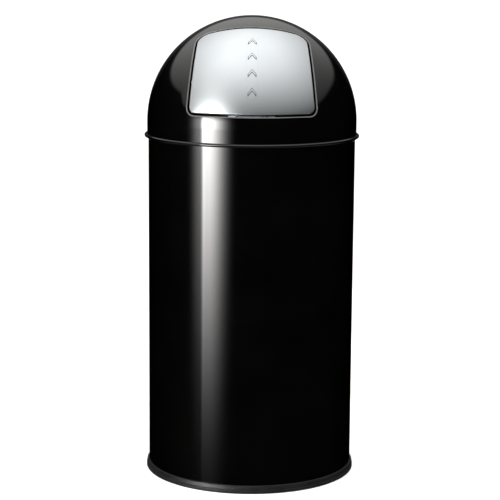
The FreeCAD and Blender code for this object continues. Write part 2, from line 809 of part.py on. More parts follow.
def make_stop_bumpers():
    """Two rubber buttons on the strip, just short of the lip's edge."""
    seat = S.stop_radius + S.stop_sheet
    zone = dome_zone("bumper_zone", seat, S.dome_radius - S.lip_depth - S.bumper_gap)
    buttons = []
    for side, offset in (("left", -S.bumper_offset), ("right", S.bumper_offset)):
        body = new_body(f"bumper_{side}_prism")
        outline = facing_sketch(body, f"bumper_{side}_outline")
        outline.circle(offset, S.bumper_height, S.bumper_radius)
        pad(body, outline.sketch, f"bumper_{side}_pad", S.tool_depth)
        buttons.append(boolean("Common", f"bumper_{side}", body, zone))
    return group("stop_bumpers", *buttons)


# ---------------------------------------------------------------- liner


def make_liner_wall():
    body = new_body("liner_wall")
    wall = Outline(body, "liner_profile")
    thick = S.liner_sheet
    centre_x = S.liner_top_radius - thick + S.liner_curl
    centre_z = S.liner_top - S.liner_curl
    small = S.liner_curl - thick
    end = as_size(180) - S.curl_sweep
    wall.point(S.liner_foot_radius, S.liner_foot).point(S.liner_top_radius, centre_z)
    wall.points.append((centre_x + small * cosine(end), centre_z + small * sine(end),
                        (centre_x, centre_z, small, -1)))
    wall.point(centre_x + S.liner_curl * cosine(end), centre_z + S.liner_curl * sine(end))
    wall.curl(centre_x, centre_z, S.liner_curl, end, S.curl_sweep)
    wall.point(S.liner_foot_radius - thick, S.liner_foot)
    revolve(body, wall.draw(), "liner_turned")
    holes = Outline(body, "liner_rivet_holes", "YZ_Plane")
    for height in (S.rivet_low, S.rivet_high):
        holes.circle(0, height, S.rivet_radius + S.running_gap)
    pocket(body, holes.sketch, "liner_rivet_holes_cut")
    return body


def make_liner_base():
    body = new_body("liner_base")
    outer = S.liner_foot_radius - S.liner_sheet - S.liner_floor_gap
    top = S.liner_floor + S.liner_sheet
    dish = Outline(body, "liner_base_profile")
    dish.point(0, S.liner_floor).point(outer - S.liner_sheet, S.liner_floor)
    dish.point(outer - S.liner_sheet, S.liner_foot).point(outer, S.liner_foot)
    dish.point(outer, top).point(0, top)
    revolve(body, dish.draw(), "liner_base_pressed")
    return body


def make_ear():
    """Right-hand ear: a plate with a round top that the bail pivots in."""
    body = new_body("liner_ear_right")
    half, side_top = S.ear_half_width, S.ear_side_top
    round_centre = side_top - root(S.ear_round * S.ear_round - half * half)
    plate = Outline(body, "ear_outline", "YZ_Plane").shift(z=S.ear_face)
    plate.point(-half, side_top, (as_size(0), round_centre, S.ear_round, 1))
    plate.point(-half, S.ear_foot).point(half, S.ear_foot).point(half, side_top)
    pad(body, plate.draw(), "ear_pad", S.ear_sheet)
    holes = Outline(body, "ear_holes_outline", "YZ_Plane")
    holes.circle(0, S.bail_pivot_height, S.bail_wire + S.bail_bore_gap)
    for height in (S.rivet_low, S.rivet_high):
        holes.circle(0, height, S.rivet_radius + S.running_gap)
    pocket(body, holes.sketch, "ear_holes")
    return body


def make_rivets():
    """Four rivets that hold the two ears, each a shank with a head at both ends."""
    rivets = []
    for name, height in (("low", S.rivet_low), ("high", S.rivet_high)):
        body = new_body(f"rivet_{name}")
        turned = Outline(body, f"rivet_{name}_profile", "XY_Plane")
        inside, outside = S.ear_face, S.rivet_outside
        head, shank, thick = S.rivet_head, S.rivet_radius, S.rivet_head_sheet
        bevel, edge = S.rivet_bevel, S.rivet_edge
        turned.point(inside - thick, 0).point(outside + thick, 0)
        turned.point(outside + thick, head - bevel).point(outside + edge, head)
        turned.point(outside, head).point(outside, shank).point(inside, shank)
        turned.point(inside, head).point(inside - edge, head).point(inside - thick, head - bevel)
        revolve(body, turned.draw(), f"rivet_{name}_turned", axis="H_Axis")
        rivets.append(place(body, z=height))
    right = group("rivets_right", *rivets)
    return group("liner_ear_rivets", right, mirrored("rivets_left", right))


# ---------------------------------------------------------------- bail


def bail_sizes():
    """Centres and radii of the bail's arcs, which run into each other at a tangent."""
    side_radius = S.bail_half_span - S.bail_side_centre
    middle_y = S.bail_elbow - S.bail_side_centre * sine(S.bail_side_sweep) / cosine(S.bail_side_sweep)
    middle_radius = side_radius + S.bail_side_centre / cosine(S.bail_side_sweep)
    return side_radius, middle_y, middle_radius


def make_bail():
    side_radius, middle_y, middle_radius = bail_sizes()
    side, sweep, elbow = S.bail_side_centre, S.bail_side_sweep, S.bail_elbow
    elbow_x = S.bail_half_span - elbow
    join_x = side + side_radius * cosine(sweep)
    join_y = elbow + side_radius * sine(sweep)
    body = new_body("liner_bail")
    path = Outline(body, "bail_path", "XY_Plane").shift(z=S.bail_pivot_height)
    path.point(S.bail_end, 0).point(elbow_x, 0)
    path.point(S.bail_half_span, elbow, (elbow_x, elbow, elbow, 1))
    path.point(join_x, join_y, (side, elbow, side_radius, 1))
    path.point(-join_x, join_y, (as_size(0), middle_y, middle_radius, 1))
    path.point(-S.bail_half_span, elbow, (-side, elbow, side_radius, 1))
    path.point(-elbow_x, 0, (-elbow_x, elbow, elbow, 1)).point(-S.bail_end, 0)
    spine = path.draw(closed=False)
    wire = Outline(body, "bail_wire_outline", "YZ_Plane").shift(z=S.bail_end)
    wire.circle(0, S.bail_pivot_height, S.bail_wire)
    doc.recompute()
    pipe = body.newObject("PartDesign::AdditivePipe", "bail_bent_wire")
    pipe.Profile = wire.sketch
    pipe.Spine = (spine, [f"Edge{number}" for number in range(1, spine.GeometryCount + 1)])
    doc.recompute()
    for name, start in (("right", S.bail_end), ("left", -S.bail_end - S.bail_head_sheet)):
        head = Outline(body, f"bail_head_{name}_outline", "YZ_Plane").shift(z=start)
        head.circle(0, S.bail_pivot_height, S.bail_head)
        pad(body, head.sketch, f"bail_head_{name}", S.bail_head_sheet)
    return body


def make_grip():
    """The plastic tube round the middle of the bail, curved with it."""
    _, middle_y, middle_radius = bail_sizes()
    body = new_body("bail_grip")
    ring = Outline(body, "grip_profile", "YZ_Plane")
    ring.circle(middle_radius, 0, S.grip_radius)
    ring.circle(middle_radius, 0, S.bail_wire + S.grip_wall_gap)
    revolve(body, ring.sketch, "grip_turned", angle=S.grip_sweep, midplane=True)
    return place(body, y=middle_y, z=S.bail_pivot_height)


# ---------------------------------------------------------------- assembly


def make_all():
    """Builds every piece of the bin; each is one node, named by its label."""
    flap_outer = flap_prism("flap_outer_prism", as_size(0))
    flap_inner = flap_prism("flap_inner_prism", -S.flap_sheet)
    gap_prism = flap_prism("aperture_prism", S.flap_gap)
    lip_prism = flap_prism("aperture_lip_prism", S.flap_gap + S.dome_sheet)
    bracket, spring, arm = make_bracket(), make_spring(), make_flap_arm()
    bush, ear, clip = make_bush(), make_ear(), make_clip()
    return [
        make_body_shell(),
        make_base_pan(),
        make_floor_ring(),
        make_dome_shell(gap_prism, lip_prism),
        make_dome_support_ring(),
        bracket,
        mirrored("hinge_bracket_left", bracket),
        make_hinge_rod(),
        group("rod_clips", clip, mirrored("clip_left", clip)),
        spring,
        mirrored("return_spring_left", spring),
        make_flap_panel(flap_outer, flap_inner),
        arm,
        mirrored("flap_arm_left", arm),
        bush,
        mirrored("flap_bush_left", bush),
        make_stop_strip(),
        make_stop_bumpers(),
        make_liner_wall(),
        make_liner_base(),
        ear,
        mirrored("liner_ear_left", ear),
        make_rivets(),
        make_bail(),
        make_grip(),
    ]


def check(pieces):
    """Stops on any failed object, and on any piece without a sound shape."""
    for obj in doc.Objects:
        if "Invalid" in obj.State or "Error" in obj.State:
            raise RuntimeError(f"{obj.Name} failed: {obj.State}")
    for piece in pieces:
        shape = piece.Shape
        if shape.isNull() or not shape.isValid() or not shape.Solids:
            raise RuntimeError(f"{piece.Label} has no sound solid")


pieces = make_all()
doc.recompute()
check(pieces)
os.makedirs("parts", exist_ok=True)
for piece in pieces:
    piece.Shape.exportStep(f"parts/{piece.Label}.step")
    box = piece.Shape.BoundBox
    print(f"{piece.Label}: {len(piece.Shape.Solids)} solid(s), {piece.Shape.Volume:.0f} mm3, "
          f"z {box.ZMin:.1f} to {box.ZMax:.1f}")
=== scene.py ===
import math

import bpy
from mathutils import Euler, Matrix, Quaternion, Vector


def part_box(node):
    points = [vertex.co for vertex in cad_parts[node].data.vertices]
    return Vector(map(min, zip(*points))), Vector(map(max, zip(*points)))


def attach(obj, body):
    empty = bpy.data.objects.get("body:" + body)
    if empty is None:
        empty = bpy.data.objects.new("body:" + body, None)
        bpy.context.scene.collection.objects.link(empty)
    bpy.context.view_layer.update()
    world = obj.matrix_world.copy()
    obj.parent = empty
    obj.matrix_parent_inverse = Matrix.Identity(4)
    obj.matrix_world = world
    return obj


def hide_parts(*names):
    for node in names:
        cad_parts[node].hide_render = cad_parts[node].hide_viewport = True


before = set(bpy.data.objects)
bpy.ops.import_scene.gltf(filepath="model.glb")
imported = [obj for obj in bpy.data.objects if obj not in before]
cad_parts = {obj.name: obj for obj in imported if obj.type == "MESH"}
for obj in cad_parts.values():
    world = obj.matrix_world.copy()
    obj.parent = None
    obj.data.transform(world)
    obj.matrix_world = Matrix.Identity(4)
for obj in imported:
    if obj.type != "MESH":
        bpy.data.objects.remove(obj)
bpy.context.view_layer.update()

# Push-flap litter bin.  Sizes below are in millimetres, as in the CAD model, and become metres
# where a mesh is made.  The flap faces -Y.

MM = 0.001


def reach_of(node):
    """How far a CAD node reaches to the right, and its lowest and highest points.

    The CAD's meshes are faceted, so these are rounded to a tenth of a millimetre."""
    low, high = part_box(node)
    return tuple(round(metres / MM, 1) for metres in (high[0], low[2], high[2]))


# how finely round shapes are divided
AROUND, AROUND_WIRE = 256, 24
CORNER_STEPS, CURL_STEPS, BEAD_STEPS, BEND_STEPS = 6, 26, 30, 8
WALL_STEPS, LINER_STEPS, SKIRT_STEPS = 60, 50, 5
SEAM_ROWS, SEAM_COLUMNS = 40, 20
DOME_ROWS, FLAP_ROWS = 56, 64
TOP_STEPS, TOP_CORNER_STEPS = 44, 16
SIDE_STEPS, FOOT_CORNER_STEPS, FOOT_STEPS = 64, 14, 56
PATCH_ROWS, PATCH_COLUMNS = 480, 72
COIL_STEPS, LEG_STEPS = 150, 6
ELBOW_STEPS, BAIL_SIDE_STEPS, BAIL_STEPS, GRIP_STEPS = 8, 30, 40, 144

# body
BODY_RADIUS, BODY_FOOT, BODY_TOP = reach_of("body_shell")
BODY_SHEET, BODY_CURL, CURL_TURN = 0.8, 2.75, 280.0
SEAM_FOOT, SEAM_TOP = 14.0, 552.0
SEAM_HALF, SEAM_FEATHER = 6.0, 0.6
SEAM_PROUD, SEAM_SUNK = 0.45, 0.1
RING_RADIUS, _, RING_HEIGHT = reach_of("floor_ring")
RING_SHOULDER, RING_INNER, RING_LEDGE = 172.45, 165.5, 9.0
RING_ROUND, RING_CROWN, RING_BEVEL = 2.5, 1.15, 0.4
RING_GAP = 0.05
GROOVE_FOOT, GROOVE_TOP, GROOVE_DEPTH = 5.4, 7.2, 0.85
GROOVE_SIDE, GROOVE_ROUND = 0.45, 0.18
_, PAN_FOOT, PAN_TOP = reach_of("base_pan")
PAN_RIM, PAN_SHEET = 169.1, 0.8
PAN_CORNER, PAN_BEND = 2.4, 2.0
RIB_INNER, RIB_OUTER, RIB_DROP = 90.0, 110.0, 2.5

# lid
DOME_RADIUS, DOME_SHEET = 172.0, 0.8
DOME_CENTRE = reach_of("dome_shell")[2] - DOME_RADIUS
BEAD_HEIGHT, BEAD_CURL, BEAD_TURN = 561.0, 2.7, 300.0
SKIRT_END = BEAD_HEIGHT + 1.5 * BEAD_CURL
LIP_BEND, LIP_DEPTH = 2.1, 5.0
_, REST_FOOT, REST_RIM = reach_of("dome_support_ring")
REST_INNER, REST_SHEET, REST_GAP, REST_SHELF = 162.5, 1.0, 0.1, 582.3
REST_OUTER_BEND, REST_INNER_BEND, REST_SHELF_BEND = 1.6, 0.6, 1.9
HINGE_UP, HINGE_OUT = 70.0, 125.0
COIL_RADIUS, COIL_WIRE = 4.4, 0.7
COIL_PITCH, COIL_START = 1.5, 58.9
COIL_TURNS, COIL_REAR_LEG = 5, 51.0
REAR_LEG, FRONT_LEG, LEG_TIP, LEG_TIP_SHARE = 27.0, 36.6, 1.0, 0.6

# flap
FLAP_TILT = math.radians(36)
FLAP_SHEET, FLAP_GAP = 1.0, 3.0
FLAP_BEND, FLAP_DEPTH = 1.1, 4.0
# a turned-in wall ends just short of its bend: at this many times the bend's radius
WALL_END = 1.1
FLAP_TOP, FLAP_TOP_CORNER, FLAP_FOOT_CORNER = 80.0, 19.0, 13.0
FLAP_SHOULDER, FLAP_HIP = (87.5, 62.0), (97.5, -45.0)
FLAP_FOOT_RADIUS, FLAP_FOOT_CENTRE = 276.0, 197.1
MARK_COUNT, MARK_LOWEST, MARK_PITCH = 4, -54.0, 31.0
MARK_HALF, MARK_RISE, MARK_STROKE = 7.0, 9.0, 6.0
MARK_PROUD, MARK_FLANK = 0.5, 1.5
PATCH_HALF, PATCH_MARGIN = 9.0, 3.0
PATCH_PROUD, PATCH_SUNK = 0.015, 0.05

# liner and bail
LINER_FOOT_RADIUS, LINER_TOP_RADIUS = 138.0, 150.0
_, LINER_FOOT, LINER_FLOOR = reach_of("liner_base")
LINER_TOP = reach_of("liner_wall")[2]
LINER_CURL, LINER_SHEET = 2.75, 0.6
LINER_FLOOR_RIM, LINER_FLOOR_CORNER = 137.3, 2.1
BAIL_HEIGHT = sum(reach_of("liner_bail")[1:]) / 2
BAIL_WIRE, BAIL_HEAD, BAIL_HEAD_SHEET, BAIL_HEAD_STEP = 2.5, 3.6, 1.5, 0.1
BAIL_SPAN, BAIL_END, BAIL_ELBOW = 152.0, 143.0, 4.0
BAIL_SIDE_CENTRE, BAIL_SIDE_SWEEP = 28.0, 60.0
GRIP_RADIUS, GRIP_SWEEP, GRIP_ROUND = 7.95, 36.0, 2.0
GRIP_RIBS, GRIP_RIB_DEPTH, GRIP_PLAIN_END = 18, 0.35, 0.05

# camera: metres, millimetres of lens and degrees
CAMERA_PLACE = (-0.0016, -2.8909, 0.8711)
CAMERA_LENS, CAMERA_SENSOR, CAMERA_REACH = 126.836, 36.0, 100.0
CAMERA_PITCH = 9.875
CAMERA_ROLL = 0.42
CAMERA_TURN = 0.15


# ---------------------------------------------------------------- mesh helpers


def add_object(name, data):
    """Puts a new object in the scene."""
    thing = bpy.data.objects.new(name, data)
    bpy.context.scene.collection.objects.link(thing)
    return thing


def add_mesh(name, vertices, faces, material):
    """Puts a new mesh object in the scene, its vertices in metres."""
    mesh = bpy.data.meshes.new(name)
    mesh.from_pydata(vertices, [], faces)
    mesh.update()
    mesh.materials.append(material)
    return add_object(name, mesh)


def add_piece(name, vertices, faces, body, slot, nodes, material):
    """Makes a smooth mesh object from millimetres and ties it to its CAD body and nodes."""
    piece = add_mesh(name, [Vector(v) * MM for v in vertices], faces, material)
    piece.data.shade_smooth()
    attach(piece, body)
    if nodes:
        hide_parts(*nodes)
    return piece


def arc_points(centre_x, centre_y, radius, start, sweep, steps):
    """Points of an arc, in degrees, both ends included."""
    points = []
    for step in range(steps + 1):
        angle = math.radians(start + sweep * step / steps)
        points.append((centre_x + radius * math.cos(angle), centre_y + radius * math.sin(angle)))
    return points


def straight(start, end, steps):
    """Points of a straight stretch, both ends included."""
    return [
        tuple(a + (b - a) * step / steps for a, b in zip(start, end)) for step in range(steps + 1)
    ]


def rounded(corners):
    """The points of a profile whose corners, given as (x, y, rounding), are arcs."""
    points = []
    for index, (x, y, rounding) in enumerate(corners):
        if not rounding:
            points.append((x, y))
            continue
        here = Vector((x, y))
        back = (Vector(corners[index - 1][:2]) - here).normalized()
        ahead = (Vector(corners[(index + 1) % len(corners)][:2]) - here).normalized()
        half = back.angle(ahead) / 2
        centre = here + (back + ahead).normalized() * rounding / math.sin(half)
        first = here + back * rounding / math.tan(half) - centre
        last = here + ahead * rounding / math.tan(half) - centre
        start = math.degrees(math.atan2(first.y, first.x))
        end = math.degrees(math.atan2(last.y, last.x))
        sweep = (end - start + 180) % 360 - 180
        points += arc_points(*centre, rounding, start, sweep, CORNER_STEPS)
    return points


def flatten(rings):
    """All the points of some rings, in order."""
    return [point for ring in rings for point in ring]


def turned_rings(profile, around=AROUND):
    """Rings of points made by turning a (radius, height) profile about Z."""
    rings = []
    for radius, height in profile:
        ring = []
        for step in range(around):
            angle = math.tau * step / around
            ring.append(Vector((radius * math.sin(angle), -radius * math.cos(angle), height)))
        rings.append(ring)
    return rings


def grid_faces(rows, columns):
    """Quads of an open grid whose points run along its rows."""
    faces = []
    for row in range(rows):
        for column in range(columns):
            corner = row * (columns + 1) + column
            faces.append((corner, corner + 1, corner + columns + 2, corner + columns + 1))
    return faces


def fan_faces(start, count, centre, flipped):
    """Triangles from a ring's points, numbered from start, to the point in its middle."""
    faces = []
    for step in range(count):
        edge = (start + step, start + (step + 1) % count)
        faces.append((*(edge[::-1] if flipped else edge), centre))
    return faces


def stitch(rings, closed):
    """Quads between rings that follow each other; closed joins the last ring to the first."""
    count = len(rings[0])
    faces = []
    last = len(rings) if closed else len(rings) - 1
    for row in range(last):
        below, above = row * count, (row + 1) % len(rings) * count
        for step in range(count):
            following = (step + 1) % count
            faces.append((below + step, below + following, above + following, above + step))
    return faces


def ring_normals(rings):
    """A unit normal at every point of a grid of rings."""
    count = len(rings[0])
    normals = []
    for row, ring in enumerate(rings):
        before, after = rings[max(row - 1, 0)], rings[min(row + 1, len(rings) - 1)]
        line = []
        for step in range(count):
            along = ring[(step + 1) % count] - ring[step - 1]
            across = after[step] - before[step]
            line.append(along.cross(across).normalized())
        normals.append(line)
    return normals


def sheet_rings(rings, thickness):
    """The two faces of a sheet, from the rings of its outer face, as one closed loop of rings."""
    inner = []
    for ring, line in zip(rings, ring_normals(rings)):
        inner.append([point - normal * thickness for point, normal in zip(ring, line)])
    return rings + inner[::-1]


def add_sheet(name, rings, thickness, *rest):
    """A closed sheet piece from the rings of its outer face."""
    loop = sheet_rings(rings, thickness)
    return add_piece(name, flatten(loop), stitch(loop, True), *rest)


def add_turned(name, profile, *rest):
    """A solid of revolution from a closed profile, drawn anticlockwise as (radius, height)."""
    rings = turned_rings(profile)
    return add_piece(name, flatten(rings), stitch(rings, True), *rest)


def disc_mesh(profile, around=AROUND):
    """The vertices and faces of a turned shape whose profile starts and ends on the axis."""
    rings = turned_rings(profile[1:-1], around)
    vertices = flatten(rings)
    faces = stitch(rings, False)
    ends = ((profile[0], 0, True), (profile[-1], len(vertices) - around, False))
    for (_, height), start, flipped in ends:
        faces += fan_faces(start, around, len(vertices), flipped)
        vertices.append(Vector((0, 0, height)))
    return vertices, faces


def add_disc(name, profile, *rest):
    """A turned piece whose profile starts and ends on the axis."""
    return add_piece(name, *disc_mesh(profile), *rest)


def add_tube(name, points, radii, *rest):
    """A round bar along points, with a radius for each of them and flat ends."""
    points = [Vector(p) for p in points]
    side = None
    rings = []
    for index, point in enumerate(points):
        before, after = points[max(index - 1, 0)], points[min(index + 1, len(points) - 1)]
        along = (after - before).normalized()
        if side is None:
            side = along.orthogonal().normalized()
        side = (side - along * side.dot(along)).normalized()
        up = along.cross(side)
        ring = []
        for step in range(AROUND_WIRE):
            angle = math.tau * step / AROUND_WIRE
            ring.append(point + (side * math.cos(angle) + up * math.sin(angle)) * radii[index])
        rings.append(ring)
    vertices = flatten(rings)
    faces = stitch(rings, False)
    faces.append(tuple(reversed(range(AROUND_WIRE))))
    faces.append(tuple(range(len(vertices) - AROUND_WIRE, len(vertices))))
    return add_piece(name, vertices, faces, *rest)


# ---------------------------------------------------------------- the flap's tilted view

UP_FLAP = Vector((0, math.sin(FLAP_TILT), math.cos(FLAP_TILT)))
OUT_FLAP = Vector((0, -math.cos(FLAP_TILT), math.sin(FLAP_TILT)))
DOME_MIDDLE = Vector((0, 0, DOME_CENTRE))


def beside_flap(x, up, out):
    """The point at (x, up) in the flap's view, out towards its viewer from the dome's middle."""
    return DOME_MIDDLE + Vector((x, 0, 0)) + UP_FLAP * up + OUT_FLAP * out


def on_dome(x, v, radius=DOME_RADIUS, depth=0.0):
    """The point of the dome seen at (x, v) in the flap's view, set in by depth along that view."""
    return beside_flap(x, v, math.sqrt(radius * radius - x * x - v * v) - depth)


def flap_outline():
    """The flap's outline as (x, v, normal x, normal v), anticlockwise from the top's middle."""
    shoulder, hip = Vector(FLAP_SHOULDER), Vector(FLAP_HIP)
    run = (hip - shoulder).normalized()
    normal = Vector((-run.y, run.x))
    side = normal.dot(shoulder)
    top_level = FLAP_TOP - FLAP_TOP_CORNER
    high = Vector(((side - FLAP_TOP_CORNER - normal.y * top_level) / normal.x, top_level))
    # the foot corner's centre lies inside both the side line and the foot arc
    base = normal * (side - FLAP_FOOT_CORNER)
    foot = Vector((0, FLAP_FOOT_CENTRE))
    inner_foot = FLAP_FOOT_RADIUS - FLAP_FOOT_CORNER
    offset = base - foot
    reach = math.sqrt(offset.dot(run) ** 2 - offset.dot(offset) + inner_foot ** 2)
    low = base + run * (reach - offset.dot(run))
    side_angle = math.degrees(math.atan2(normal.y, normal.x))
    foot_angle = math.degrees(math.atan2(low.y - foot.y, low.x))
    stretch = straight((0, FLAP_TOP), (high.x, FLAP_TOP), TOP_STEPS)
    right = [(x, v, 90.0) for x, v in stretch[:-1]]
    right += outline_arc(high, FLAP_TOP_CORNER, 90.0, side_angle, TOP_CORNER_STEPS)
    stretch = straight(right[-1][:2], low + normal * FLAP_FOOT_CORNER, SIDE_STEPS)
    right += [(x, v, side_angle) for x, v in stretch[1:-1]]
    right += outline_arc(low, FLAP_FOOT_CORNER, side_angle, foot_angle, FOOT_CORNER_STEPS)
    right += outline_arc(foot, FLAP_FOOT_RADIUS, foot_angle, -90.0, FOOT_STEPS)[1:]
    left = [(-x, v, 180.0 - angle) for x, v, angle in right[1:-1]]
    loop = [right[0]] + left + [right[-1]] + right[1:-1][::-1]
    return [(x, v, math.cos(math.radians(a)), math.sin(math.radians(a))) for x, v, a in loop]


def outline_arc(centre, radius, start, end, steps):
    """Points of an arc of the outline, each with the angle of its normal."""
    points = arc_points(*centre, radius, start, end - start, steps)
    return [(x, v, start + (end - start) * step / steps) for step, (x, v) in enumerate(points)]


OUTLINE = flap_outline()


def outline_ring(grow, depth):
    """The flap's outline grown outwards and set in by depth along its view."""
    return [on_dome(x + nx * grow, v + nv * grow, depth=depth) for x, v, nx, nv in OUTLINE]


def edge_rings(grow, bend, outwards, depth):
    """Rings of an edge turned in along the flap's view: its wall, then its bend up to the dome.

    grow places the wall outside the flap's outline, bend is the bend's radius, and outwards is
    the way from the wall to the sheet's face."""
    levels = (depth, (depth + bend) / 2, bend * WALL_END)
    rings = [outline_ring(grow, level) for level in levels]
    for step in range(BEND_STEPS + 1):
        turn = math.radians(90 * step / BEND_STEPS)
        shift = grow + outwards * bend * (1 - math.cos(turn))
        rings.append(outline_ring(shift, bend * (1 - math.sin(turn))))
    return rings


def bend_faces(ring):
    """The numbers of the faces in an edge's bend, where edge_rings come first in a sheet."""
    return range(2 * len(ring), (3 + BEND_STEPS) * len(ring))


def shade_faces(piece, material, numbers):
    """Gives some faces of a piece a second material."""
    piece.data.materials.append(material)
    for number in numbers:
        piece.data.polygons[number].material_index = 1


# ---------------------------------------------------------------- materials


def new_material(name):
    """A new material with its nodes and links."""
    material = bpy.data.materials.new(name)
    material.use_nodes = True
    return material, material.node_tree.nodes, material.node_tree.links


def noise(nodes, links, scale, detail=3.0, stretch=(1, 1, 1)):
    """Noise over the object's own coordinates, in metres, stretched along its axes."""
    place = nodes.new("ShaderNodeTexCoord")
    mapping = nodes.new("ShaderNodeMapping")
    mapping.inputs["Scale"].default_value = stretch
    texture = nodes.new("ShaderNodeTexNoise")
    texture.inputs["Scale"].default_value = scale
    texture.inputs["Detail"].default_value = detail
    links.new(place.outputs["Object"], mapping.inputs["Vector"])
    links.new(mapping.outputs["Vector"], texture.inputs["Vector"])
    return texture.outputs["Fac"]


# noise values mostly lie between these
NOISE_LOW, NOISE_HIGH = 0.3, 0.7


def ramp(nodes, links, source, low, high, start=NOISE_LOW, end=NOISE_HIGH):
    """Maps a value from start..end to low..high, numbers or colours."""
    colour = isinstance(low, tuple)
    node = nodes.new("ShaderNodeMapRange") if not colour else nodes.new("ShaderNodeValToRGB")
    if colour:
        for element, position, value in zip(node.color_ramp.elements, (start, end), (low, high)):
            element.position = position
            element.color = (*value, 1)
        links.new(source, node.inputs["Fac"])
        return node.outputs["Color"]
    for socket, value in zip(("From Min", "From Max", "To Min", "To Max"), (start, end, low, high)):
        node.inputs[socket].default_value = value
    links.new(source, node.inputs["Value"])
    return node.outputs["Result"]


def bump(nodes, links, shader, source, strength, distance, socket="Normal"):
    """Raises a shader's surface by a value; distance is in metres."""
    node = nodes.new("ShaderNodeBump")
    node.inputs["Strength"].default_value = strength
    node.inputs["Distance"].default_value = distance
    links.new(source, node.inputs["Height"])
    links.new(node.outputs["Normal"], shader.inputs[socket])


def tint(nodes, links, shader, source, low, high, start=NOISE_LOW, end=NOISE_HIGH):
    """Colours a shader between two colours by a value."""
    links.new(ramp(nodes, links, source, low, high, start, end), shader.inputs["Base Color"])


def roughen(nodes, links, shader, source, low, high, start=NOISE_LOW, end=NOISE_HIGH):
    """Varies a shader's roughness between two numbers by a value."""
    links.new(ramp(nodes, links, source, low, high, start, end), shader.inputs["Roughness"])


def gloss_black_paint():
    """Stoved black gloss: a clear hard coat over black, with faint orange peel and dust."""
    material, nodes, links = new_material("gloss_black_paint")
    shader = nodes["Principled BSDF"]
    tone = noise(nodes, links, scale=14, detail=4)
    tint(nodes, links, shader, tone, (0.0006, 0.0006, 0.0007), (0.0014, 0.0012, 0.0011))
    smears = noise(nodes, links, scale=22, detail=5, stretch=(1, 1, 0.35))
    roughen(nodes, links, shader, smears, 0.22, 0.32)
    shader.inputs["Specular IOR Level"].default_value = 0.02
    shader.inputs["Coat Weight"].default_value = 1.0
    shader.inputs["Coat Roughness"].default_value = 0.02
    peel = noise(nodes, links, scale=420, detail=2)
    bump(nodes, links, shader, peel, strength=0.05, distance=0.0003)
    bump(nodes, links, shader, peel, strength=0.012, distance=0.0003, socket="Coat Normal")
    return material


def lip_highlight_paint():
    """The paint of the opening's lip: a grey that is a painted highlight along its bend, dull and
    finely scratched.
    """
    material, nodes, links = new_material("lip_highlight_paint")
    shader = nodes["Principled BSDF"]
    patches = noise(nodes, links, scale=60, detail=4)
    # the grey stands in for the highlight along the lip's bend: painted highlight
    tint(nodes, links, shader, patches, (0.08, 0.08, 0.077), (0.13, 0.128, 0.122))
    roughen(nodes, links, shader, patches, 0.3, 0.45)
    scratches = noise(nodes, links, scale=900, detail=2)
    bump(nodes, links, shader, scratches, strength=0.1, distance=0.0002)
    return material


def satin_black_coat():
    """The thin black coat on the parts that don't show."""
    material, nodes, links = new_material("black_primer")
    shader = nodes["Principled BSDF"]
    tone = noise(nodes, links, scale=60, detail=5)
    tint(nodes, links, shader, tone, (0.018, 0.018, 0.019), (0.032, 0.031, 0.031))
    roughen(nodes, links, shader, tone, 0.38, 0.55)
    grain = noise(nodes, links, scale=700, detail=2)
    bump(nodes, links, shader, grain, strength=0.15, distance=0.0003)
    return material


def brushed_stainless(name, low, high, rough):
    """Satin stainless: very fine brushing across the flap, with soft cloudy variation."""
    material, nodes, links = new_material(name)
    shader = nodes["Principled BSDF"]
    shader.inputs["Metallic"].default_value = 1.0
    grain = noise(nodes, links, scale=5000, detail=2, stretch=(0.012, 1, 1))
    clouds = noise(nodes, links, scale=16, detail=3)
    tint(nodes, links, shader, grain, low, high)
    roughen(nodes, links, shader, clouds, rough, rough + 0.05)
    bump(nodes, links, shader, grain, strength=0.05, distance=0.0001)
    # the brushing runs across, so it spreads what it reflects up and down
    brushing = nodes.new("ShaderNodeTangent")
    brushing.direction_type = "RADIAL"
    brushing.axis = "Z"
    links.new(brushing.outputs["Tangent"], shader.inputs["Tangent"])
    shader.inputs["Anisotropic"].default_value = 0.4
    shader.inputs["Anisotropic Rotation"].default_value = 0.25
    return material


def zinc_plate():
    """Bright zinc with a faint blue cast and dull patches."""
    material, nodes, links = new_material("zinc_plated_steel")
    shader = nodes["Principled BSDF"]
    shader.inputs["Metallic"].default_value = 1.0
    patches = noise(nodes, links, scale=120, detail=5)
    tint(nodes, links, shader, patches, (0.46, 0.48, 0.51), (0.62, 0.64, 0.66))
    roughen(nodes, links, shader, patches, 0.26, 0.44)
    grain = noise(nodes, links, scale=1500, detail=2)
    bump(nodes, links, shader, grain, strength=0.1, distance=0.0002)
    return material


def spring_wire():
    """Drawn spring steel with an oily sheen and fine mottling."""
    material, nodes, links = new_material("spring_steel")
    shader = nodes["Principled BSDF"]
    shader.inputs["Metallic"].default_value = 1.0
    mottling = noise(nodes, links, scale=900, detail=4)
    tint(nodes, links, shader, mottling, (0.20, 0.20, 0.21), (0.36, 0.35, 0.34))
    roughen(nodes, links, shader, mottling, 0.25, 0.4)
    bump(nodes, links, shader, mottling, strength=0.1, distance=0.0002)
    return material


def galvanised_steel():
    """Hot-dip galvanising: crystals a few millimetres across, each with its own tone and gloss."""
    material, nodes, links = new_material("galvanised_steel")
    shader = nodes["Principled BSDF"]
    shader.inputs["Metallic"].default_value = 1.0
    place = nodes.new("ShaderNodeTexCoord")
    crystals = nodes.new("ShaderNodeTexVoronoi")
    crystals.inputs["Scale"].default_value = 110
    links.new(place.outputs["Object"], crystals.inputs["Vector"])
    tone = nodes.new("ShaderNodeSeparateColor")
    links.new(crystals.outputs["Color"], tone.inputs["Color"])
    red, green = tone.outputs["Red"], tone.outputs["Green"]
    tint(nodes, links, shader, red, (0.40, 0.42, 0.44), (0.62, 0.64, 0.66), 0.0, 1.0)
    roughen(nodes, links, shader, green, 0.30, 0.52, 0.0, 1.0)
    grain = noise(nodes, links, scale=240, detail=4)
    bump(nodes, links, shader, grain, strength=0.12, distance=0.0004)
    return material


